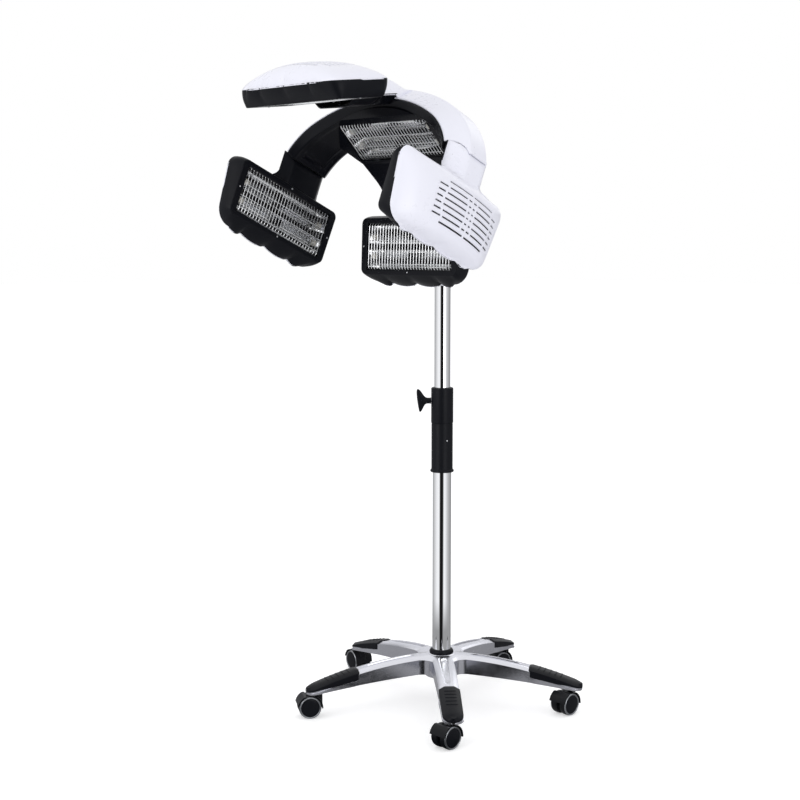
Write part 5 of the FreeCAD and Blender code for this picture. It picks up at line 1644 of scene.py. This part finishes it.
# ======== column
@dataclass
class Column:
    """The two chromed tubes, the clamp collar and its wing knob.

    The wing is a row of sections: how far out each lies, and its upper and lower edge.
    """

    lower_r: float = 21.0
    upper_r: float = 18.0
    tube_wall: float = 1.5
    lower_from: float = 66.0
    lower_to: float = 560.0
    upper_from: float = 330.0
    upper_to: float = 1180.0
    collar_r: float = 24.0
    flange_r: float = 26.5
    collar_from: float = 530.0
    collar_step: float = 640.0
    collar_to: float = 720.0
    rim_lift: float = 0.8
    knob_gap: float = 0.3
    screw_level: float = 602.0
    screw_deg: float = 28.0
    neck_half: float = 6.8
    wing_half: float = 4.6
    thin_from: float = 26.0
    thinning: float = 2.0
    wing: tuple[tuple[float, float, float], ...] = (
        (0.0, 7.2, -7.2), (4.0, 6.6, -6.6), (9.0, 6.8, -6.8), (12.0, 8.0, -8.0),
        (15.0, 10.5, -11.5), (18.0, 14.5, -17.5), (20.5, 18.2, -22.5), (22.5, 21.0, -25.2),
        (24.5, 23.2, -25.9), (26.5, 24.8, -24.0), (28.5, 25.9, -14.0), (30.2, 26.0, -4.0),
        (31.4, 24.8, 5.0), (32.0, 22.6, 12.0), (32.3, 19.0, 17.0))

    def build(self) -> None:
        """Build and dress the column."""
        for node, body, radius, low, high in (
                ("lower_tube", "stand", self.lower_r, self.lower_from, self.lower_to),
                ("upper_tube", "mast", self.upper_r, self.upper_from, self.upper_to)):
            tube = lathe(tube_profile(radius, radius - self.tube_wall, low, high))
            dress(tube.piece(node + "_chrome"), CHROME, body, node)
        self.build_collar()
        for node, finish in (("guide_bush", NYLON), ("clamp_screw", STEEL),
                             ("tube_foot", NYLON), ("base_bolt", STEEL)):
            body = next(name for name, nodes in frame["record"]["behaviour"]["bodies"].items()
                        if node in nodes)
            soften(node, finish, body, 0.3)
        self.build_knob()
        self.build_screw()

    def build_knob(self) -> None:
        """Build the fish-tail wing knob with its round neck."""
        turn = joint("knob_turn")
        centre, axis = anchor("knob_turn"), Vector(turn["axis"]).normalized()
        centre = Vector((0, 0, centre.z))
        if axis.dot(node_middle("wing_knob") - centre) < 0:
            axis.negate()
        up = Z_AXIS
        place = Place(centre, axis.cross(up), up, axis)
        reach = self.collar_r + self.rim_lift + self.knob_gap
        rings = []
        for run, high, low in self.wing:
            out = reach + run
            middle, half = (high + low) / 2, (high - low) / 2
            flat = smooth_step(out, reach + 8, reach + 20)
            thick = self.neck_half * (1 - flat) + self.wing_half * flat
            if run > self.thin_from:
                thick = self.wing_half - self.thinning * (run - self.thin_from) / (
                    self.wing[-1][0] - self.thin_from)
            ring = []
            for k in range(32):
                angle = 2 * math.pi * k / 32
                ring.append(Vector((thick * math.cos(angle),
                                    middle + half * math.copysign(
                                        abs(math.sin(angle)) ** (1 - 0.3 * flat),
                                        math.sin(angle)), out)))
            rings.append(ring)
        skin = Skin()
        skin.solid(rings)
        piece = skin.piece("wing_knob_moulding", place, 60.0)
        dress(piece, BLACK, "knob", "wing_knob")

    def build_screw(self) -> None:
        """Build the small bright screw in the collar's side."""
        turn = math.radians(-90.0 + Studio().azimuth_deg + self.screw_deg)
        out = polar(1.0, turn)
        origin, axis = ORIGIN, Z_AXIS
        place = Place(axis * self.screw_level, axis.cross(out), axis, out)
        level = self.collar_r
        ring, head = Skin(), Skin()
        add_turned(ring, [(1.7, level - 0.6), (3.2, level - 0.6), (3.4, level - 0.2),
                          (3.0, level + 0.5), (2.2, level + 0.5), (1.7, level - 0.2),
                          (1.7, level - 0.6)], origin, axis, 32)
        add_turned(head, [(0, level - 0.8), (1.7, level - 0.8), (1.7, level + 0.1),
                          (1.3, level + 0.4), (0, level + 0.5)], origin, axis, 24)
        dress(ring.piece("collar_eyelet", place), GLOSS_BLACK, "stand")
        dress(head.piece("collar_screw", place), STEEL, "stand")

    def build_collar(self) -> None:
        """Build the moulded collar with its flange, step and rim."""
        r, full = self.collar_r, self.collar_r + self.rim_lift
        inner = self.lower_r + 0.05
        profile = [(inner, self.collar_from), (self.flange_r - 1, self.collar_from),
                   (self.flange_r, self.collar_from + 1.2), (self.flange_r, self.collar_from + 3.6),
                   (self.flange_r - 0.8, self.collar_from + 5), (r + 0.6, self.collar_from + 6),
                   (r, self.collar_from + 7.5), (r, self.collar_step - 2),
                   (r - 0.5, self.collar_step - 1), (r - 0.5, self.collar_step),
                   (full, self.collar_step + 1), (full, self.collar_to - 3),
                   (full - 0.6, self.collar_to - 1), (full - 2, self.collar_to),
                   (self.upper_r + 1.6, self.collar_to), (self.upper_r + 1.4, self.collar_to - 2),
                   (inner, self.collar_to - 30), (inner, self.collar_from)]
        piece = lathe(profile).piece("collar_moulding", sharp=30.0)
        dress(piece, BLACK, "stand", "clamp_collar")


# ======== base
@dataclass
class StarBase:
    """The cast five-leg base with its foot covers."""

    legs: int = 5
    first_deg: float = -42.85
    reach: float = 322.0
    top: tuple[float, float, float] = (113.0, 102.0, 64.0)
    low: tuple[float, float, float] = (76.0, 68.0, 52.5)
    middle_share: float = 0.54
    hub_w: float = 48.0
    tip_w: float = 42.0
    bevel_run: float = 10.0
    bevel_drop: float = 5.5
    wall: float = 4.0
    web_r: float = 24.0
    tread_from: float = 203.0
    tread_thick: float = 2.6
    tread_side: float = 0.9
    skirt_share: float = 0.5
    lip: float = 1.7
    least_ridge: float = 0.45
    recess_from: float = 58.0
    recess_to: float = 196.0
    recess_half: float = 9.5
    recess_narrowing: float = 5.0
    recess_deep: float = 2.2
    web_at: float = 70.0
    rib_count: int = 5
    rib_from: float = 22.0
    rib_pitch: float = 12.5
    pad_run: float = 9.0
    pad_edge: float = 0.8
    pad_round: float = 7.0

    def height(self, ends: tuple[float, float, float], x: float) -> float:
        """Return the height at x of the parabola through three heights along a leg."""
        hub, mid, tip = ends
        t, m = x / self.reach, self.middle_share
        return (hub * (t - m) * (t - 1) / m + mid * t * (t - 1) / (m * (m - 1))
                + tip * t * (t - m) / (1 - m))

    def half_width(self, x: float) -> float:
        """Return half the leg's width at x, round at the tip."""
        half = (self.hub_w + (self.tip_w - self.hub_w) * x / self.reach) / 2
        bend = self.reach - self.tip_w / 2
        if x > bend:
            half *= math.sqrt(max(1 - ((x - bend) / (self.reach - bend)) ** 2, 0.0))
        return half

    def stations(self, start: float, end: float, step: float = 9.0) -> list[float]:
        """Return distances along a leg, closer together round its tip."""
        bend = self.reach - self.tip_w / 2
        count = round((bend - start) / step)
        body = [start + (bend - start) * k / count for k in range(count + 1)]
        tip = [bend + (end - bend) * math.sin(math.radians(a)) for a in range(9, 90, 9)]
        return body + tip + [end - 0.05]

    def turned(self, k: int) -> Place:
        """Return the axes of leg k: x along it, z up."""
        angle = math.radians(self.first_deg + k * 360 / self.legs)
        along = polar(1.0, angle)
        side = Vector((-along.y, along.x, 0))
        return Place(ORIGIN, along, side, Z_AXIS)

    def build(self) -> None:
        """Build and dress the base."""
        skin, treads, spots = Skin(), Skin(), []
        for k in range(self.legs):
            place = self.turned(k)
            self.add_leg(skin, place)
            self.add_tread(treads, place)
            spots += self.rib_spots(place)
        self.add_hub(skin)
        base = skin.piece("base_casting", sharp=32.0)
        round_edges(base, 1.6, 3, 32.0)
        dress(base, ALLOY, "stand", "star_base")
        cover = treads.piece("tread_mouldings", sharp=35.0)
        round_edges(cover, 0.8, 2, 35.0)
        dress(cover, BLACK, "stand", "foot_covers")
        half = self.half_width(240) - self.bevel_run + 1.0
        bar = Skin()
        add_turned(bar, [(0, -half), (1.4, -half), (2.1, -half + 1.5), (2.1, half - 1.5),
                         (1.4, half), (0, half)], ORIGIN, Y_AXIS, 12)
        ribs = copies_on("tread_ribs", spots, pattern_of(bar, "rib_pattern"), BLACK, UPRIGHT)
        dress(ribs, BLACK, "stand")
        ring = lathe([(21.05, 115), (27, 115), (27.4, 116), (27.2, 119), (25, 122.5),
                      (22.4, 124), (21.05, 124), (21.05, 115)]).piece("hub_trim", sharp=35.0)
        dress(ring, BLACK, "stand", "hub_ring")

    def rib_spots(self, place: Place) -> list[tuple[Vector, Vector, Vector]]:
        """Return where the grip ribs of one foot cover lie."""
        spots = []
        for k in range(self.rib_count):
            x = self.tread_from + self.rib_from + k * self.rib_pitch
            level = self.height(self.top, x) + self.tread_thick - 0.9
            slope = self.height(self.top, x + 1) - self.height(self.top, x)
            facing = (place.out - place.across * slope).normalized()
            spots.append((place.at(x, 0, level), facing, place.across))
        return spots

    def recess(self, x: float) -> tuple[float, float]:
        """Return half the width and the depth of the recess in a leg's ridge."""
        share = (x - self.recess_from) / (self.recess_to - self.recess_from)
        if not 0 <= share <= 1:
            return 5.0, 0.0
        rounding = min(1.0, math.sqrt(share * 8), math.sqrt((1 - share) * 10))
        half = (self.recess_half - self.recess_narrowing * share) * rounding
        return max(half, 0.8), self.recess_deep * min(1.0, share * 8, (1 - share) * 6)

    def add_leg(self, skin: Skin, place: Place) -> None:
        """Add one hollow leg to a skin."""
        rings = []
        for x in self.stations(28.0, self.reach):
            half = self.half_width(x)
            ridge = max(half - self.bevel_run, half * self.least_ridge)
            top, low = self.height(self.top, x), self.height(self.low, x)
            edge = top - self.bevel_drop
            wide, deep = self.recess(x)
            wide = min(wide, ridge * 0.8)
            seat = low + (edge - low) * (1 - self.skirt_share) - 0.6
            ledge = half + self.lip * smooth_step(x, self.tread_from + 6, self.tread_from + 16)
            outer = [(ledge, low), (ledge, seat), (half, seat + 0.3), (half, edge), (ridge, top),
                     (wide, top), (wide - 0.7, top - deep), (-wide + 0.7, top - deep),
                     (-wide, top), (-ridge, top), (-half, edge), (-half, seat + 0.3),
                     (-ledge, seat), (-ledge, low)]
            room = 1 - smooth_step(x, 272.0, 280.0)
            inset = min(self.wall, half * 0.3)
            roof = low + (top - self.wall - 2 - low) * room
            bend = low + (edge - self.wall - low) * room
            inner = [(-half + inset, low), (-half + inset, bend), (-ridge + 2, roof),
                     (ridge - 2, roof), (half - inset, bend), (half - inset, low)]
            rings.append([place.at(x, y, z) for y, z in outer + inner])
        skin.solid(rings)

    def add_tread(self, skin: Skin, place: Place) -> None:
        """Add one foot cover to a skin: a thick pad with a rounded inner end."""
        rings = []
        bend = self.reach - self.tip_w / 2
        end = self.reach + self.tread_side
        start = self.tread_from
        inward = [start + self.pad_run * (1 - math.cos(math.radians(a))) for a in range(0, 91, 15)]
        for x in inward + self.stations(start + 14, end, 6.0):
            base = self.half_width(min(x, self.reach - 0.1))
            half = base + self.tread_side
            if x > bend:
                full = self.tip_w / 2 + self.tread_side
                half = full * math.sqrt(max(1 - ((x - bend) / (end - bend)) ** 2, 0.0))
            near = min((x - start) / self.pad_run, 1.0)
            full_share = math.sqrt(max(1 - (1 - near) ** 2, 0.0))
            half -= self.pad_round * (1 - full_share)
            lift = self.pad_edge + (self.tread_thick - self.pad_edge) * full_share
            ridge = max(half - self.bevel_run, half * self.least_ridge)
            top = self.height(self.top, x) + lift
            edge = top - self.bevel_drop
            bare = self.height(self.top, x) - self.bevel_drop
            share = self.skirt_share - 0.3 * smooth_step(x, 265.0, 312.0)
            low = bare - share * (bare - self.height(self.low, x))
            ring = [(half, low), (half, edge), (ridge, top), (-ridge, top), (-half, edge),
                    (-half, low)]
            inner_ridge = max(ridge - 1.0, 0.02)
            floor = self.height(self.top, x) - 0.3
            ring += [(-inner_ridge, floor), (inner_ridge, floor)]
            rings.append([place.at(x, y, z) for y, z in ring])
        skin.solid(rings)

    def add_hub(self, skin: Skin) -> None:
        """Add the hub and the concave webs between the legs to a skin."""
        add_turned(skin, [(21.0, 62), (36, 62), (38, 65), (38, 104), (36, 110.5), (31, 114),
                          (21.0, 115), (21.0, 62)], ORIGIN, Z_AXIS, 80)
        turn = math.radians(360 / self.legs)
        where = self.web_at
        half = self.half_width(where)
        centre_at = (half + self.web_r) / math.sin(turn / 2)
        middle = polar(1.0, turn / 2)
        centre = middle * centre_at
        low, top = self.height(self.low, where), self.height(self.top, where)
        spread = math.pi / 2 - turn / 2
        for k in range(self.legs):
            place = self.turned(k)
            rings = []
            for level, grow in ((low, 0.0), (top - self.bevel_drop, 0.0),
                                (top, self.bevel_run)):
                ring = []
                for step in range(15):
                    angle = math.pi + turn / 2 + spread * (step / 7 - 1)
                    spot = centre + polar(1.0, angle) * (self.web_r + grow)
                    ring.append(place.at(spot.x, spot.y, level))
                ring.append(place.at(middle.x * 12, middle.y * 12, level))
                rings.append(ring)
            skin.solid(rings)


@dataclass
class Casters:
    """The five twin-wheel casters."""

    count: int = 5
    wheel_r: float = 25.0
    wheel_w: float = 17.0
    fork_w: float = 9.0
    gap: float = 0.3

    def build(self) -> None:
        """Build and dress every caster."""
        for number in range(1, self.count + 1):
            soften(f"caster_housing_{number}", NYLON, f"caster_{number}", 0.9, 40.0)
            self.build_wheels(number)

    def build_wheels(self, number: int) -> None:
        """Build one caster's treads, rims and caps."""
        roll = joint(f"wheels_{number}_roll")
        centre, axis = Vector(roll["pos_m"]) / MM, Vector(roll["axis"]).normalized()
        near, far = self.fork_w / 2 + self.gap, self.fork_w / 2 + self.wheel_w
        r = self.wheel_r
        tyre, rim, cap = Skin(), Skin(), Skin()
        for side in (-1, 1):
            way = axis * side
            add_turned(tyre, [(4, near), (r - 2, near), (r - 0.4, near + 1.2), (r, near + 3),
                              (r, far - 5.5), (r - 0.5, far - 3.6), (r - 1.2, far - 2.4),
                              (r - 2.0, far - 1.8), (4, far - 1.8), (4, near)], centre, way, 64)
            add_turned(rim, [(r - 4.6, far - 2.0), (r - 0.7, far - 2.9), (r - 0.7, far - 1.8),
                             (r - 1.4, far - 0.7), (r - 2.6, far), (r - 3.8, far - 0.5),
                             (r - 4.6, far - 1.6), (r - 4.6, far - 2.0)], centre, way, 64)
            add_turned(cap, [(0, far - 3), (r - 4.7, far - 3), (r - 4.7, far - 1.9),
                             (r - 5.8, far - 1.2), (r - 10, far - 0.7), (0, far - 0.6)],
                       centre, way, 64)
        add_turned(tyre, [(0, -near), (4, -near), (4, near), (0, near)], centre, axis, 24)
        body = f"wheels_{number}"
        dress(tyre.piece(f"caster_{number}_tyres", sharp=35.0), NYLON, body,
              f"caster_wheels_{number}")
        dress(rim.piece(f"caster_{number}_rims", sharp=50.0), WHEEL_GREY, body)
        dress(cap.piece(f"caster_{number}_caps", sharp=50.0), BLACK, body)


# ======== studio
# The surround's brightness by its bearing from the camera, in degrees.
SURROUND = ((-180, 0.85), (-162, 0.8), (-152, 0.36), (-140, 0.41), (-108, 0.57), (-87, 0.74),
            (-68, 0.9), (-45, 1.0), (-32, 0.95), (-26, 0.3), (-22, 0.01), (11, 0.01), (17, 0.3),
            (24, 0.95), (36, 1.0), (52, 0.82), (68, 0.63), (87, 0.47), (140, 0.25), (152, 0.3),
            (162, 0.8), (180, 0.85))
# Each lamp's name, place and size in metres, and power in watts.
LAMPS = (("key", (-0.4, -3.8, 2.2), 2.0, 26.0), ("fill", (3.9, -1.2, 1.2), 2.2, 22.0),
         ("back", (-0.6, 3.4, 2.4), 2.0, 8.0))


@dataclass(frozen=True)
class Studio:
    """The floor, the lamps, the world and the camera."""

    azimuth_deg: float = 42.5
    distance: float = 3.2
    height: float = 1.04
    pitch_deg: float = 6.22
    yaw_deg: float = 1.69
    focal_pixels: float = 1440.0
    frame_pixels: float = 800.0
    sensor: float = 36.0
    ambient: float = 0.84
    floor_glow: float = 0.42
    flag_reach: float = 5.0
    flag_height: float = 3.4
    pool_reach: float = 0.7
    pool_shade: float = 0.34
    floor_reach: float = 30.0
    card_lift: float = 0.003
    aim_height: float = 0.9

    def build(self) -> None:
        """Set the whole studio up."""
        self.build_floor()
        self.build_world()
        self.build_lamps()
        self.build_surround()
        self.build_camera()
        bpy.context.scene.view_settings.view_transform = "Standard"

    def build_floor(self) -> None:
        """Lay the pale floor."""
        mesh = bpy.data.meshes.new("floor")
        reach = self.floor_reach
        mesh.from_pydata([(-reach, -reach, 0), (reach, -reach, 0), (reach, reach, 0),
                          (-reach, reach, 0)], [], [(0, 1, 2, 3)])
        floor = linked("floor", mesh)
        material = shader_material("studio_floor", {
            "Base Color": (0.86, 0.86, 0.87, 1), "Roughness": 0.9, "Emission Color": (1, 1, 1, 1)})
        tree = material.node_tree
        path = add_node(tree, "ShaderNodeLightPath")
        seen = math_node(tree, "MAXIMUM", path.outputs["Is Camera Ray"],
                         path.outputs["Is Glossy Ray"])
        glow = math_node(tree, "MULTIPLY", seen, self.floor_glow)
        tree.links.new(glow, tree.nodes["Principled BSDF"].inputs["Emission Strength"])
        mesh.materials.append(material)

    def build_world(self) -> None:
        """Light the scene softly all round, white to the camera."""
        world = bpy.data.worlds.new("studio")
        bpy.context.scene.world = world
        world.use_nodes = True
        tree = world.node_tree
        back = tree.nodes["Background"]
        path = add_node(tree, "ShaderNodeLightPath")
        seen = math_node(tree, "MAXIMUM", path.outputs["Is Camera Ray"],
                         math_node(tree, "MAXIMUM", path.outputs["Is Glossy Ray"],
                                   path.outputs["Is Transmission Ray"]))
        back.inputs["Color"].default_value = (1, 1, 1, 1)
        strength = math_node(tree, "MULTIPLY_ADD", seen, 1 - self.ambient, self.ambient)
        tree.links.new(strength, back.inputs["Strength"])

    def build_lamps(self) -> None:
        """Hang the soft lamps."""
        for name, place, size, power in LAMPS:
            lamp = bpy.data.lights.new(name, "AREA")
            lamp.size = size
            lamp.energy = power
            holder = linked(name, lamp)
            holder.location = place
            way = Vector((0, 0, self.aim_height)) - Vector(place)
            holder.rotation_euler = way.to_track_quat("-Z", "Y").to_euler()

    def shade_at(self, x: float, y: float) -> float:
        """Return the surround's brightness at a point of the studio, in metres from the mast."""
        turn = math.degrees(math.atan2(x, -y)) - self.azimuth_deg
        turn = (turn + 180.0) % 360.0 - 180.0
        shade = float(np.interp(turn, [stop[0] for stop in SURROUND],
                                [stop[1] for stop in SURROUND]))
        return min(shade, self.pool_shade) if math.hypot(x, y) < self.pool_reach else shade

    def build_surround(self) -> None:
        """Stand a shaded surround about the set, seen only in reflections."""
        material = shader_material("surround", {
            "Base Color": (0.0, 0.0, 0.0, 1), "Specular IOR Level": 0.0,
            "Emission Color": (0.97, 0.975, 1.0, 1)})
        tree = material.node_tree
        shade = add_node(tree, "ShaderNodeAttribute", attribute_name="shade")
        tree.links.new(shade.outputs["Fac"],
                       tree.nodes["Principled BSDF"].inputs["Emission Strength"])
        skin = Skin()
        rows = []
        turns = [math.radians(k) for k in range(0, 361, 2)]
        for reach, level in ((0.01, self.card_lift), (0.62, self.card_lift), (0.95, self.card_lift),
                             (self.flag_reach, self.card_lift),
                             (self.flag_reach, self.flag_height)):
            rows.append([Vector((reach * math.sin(turn), -reach * math.cos(turn), level)) / MM
                         for turn in turns])
        skin.sheet(rows)
        card = skin.piece("surround")
        layer = card.data.attributes.new("shade", "FLOAT", "POINT")
        layer.data.foreach_set("value", [self.shade_at(vertex.co.x, vertex.co.y)
                                         for vertex in card.data.vertices])
        card.data.materials.append(material)
        card.visible_camera = False
        card.visible_diffuse = False
        card.visible_shadow = False
        card.visible_transmission = False

    def build_camera(self) -> None:
        """Stand the camera at its bearing and turn it toward the product."""
        bearing = math.radians(self.azimuth_deg)
        back = Vector((math.sin(bearing), -math.cos(bearing), 0))
        data = bpy.data.cameras.new("camera")
        data.sensor_width = self.sensor
        data.lens = self.focal_pixels / self.frame_pixels * self.sensor
        camera = linked("camera", data)
        turn = (Matrix.Rotation(bearing + math.radians(self.yaw_deg), 4, "Z")
                @ Matrix.Rotation(math.radians(90 - self.pitch_deg), 4, "X"))
        turn.translation = back * self.distance + Vector((0, 0, self.height))
        camera.matrix_world = turn
        bpy.context.scene.camera = camera


def main() -> None:
    """Build the whole model and its studio."""
    logging.basicConfig(level=logging.INFO, format="%(message)s")
    StarBase().build()
    Casters().build()
    Column().build()
    Head().build()
    for name in ("left", "right", "rear", "front"):
        Panel(name).build()
    Studio().build()


if __name__ == "__main__":
    main()
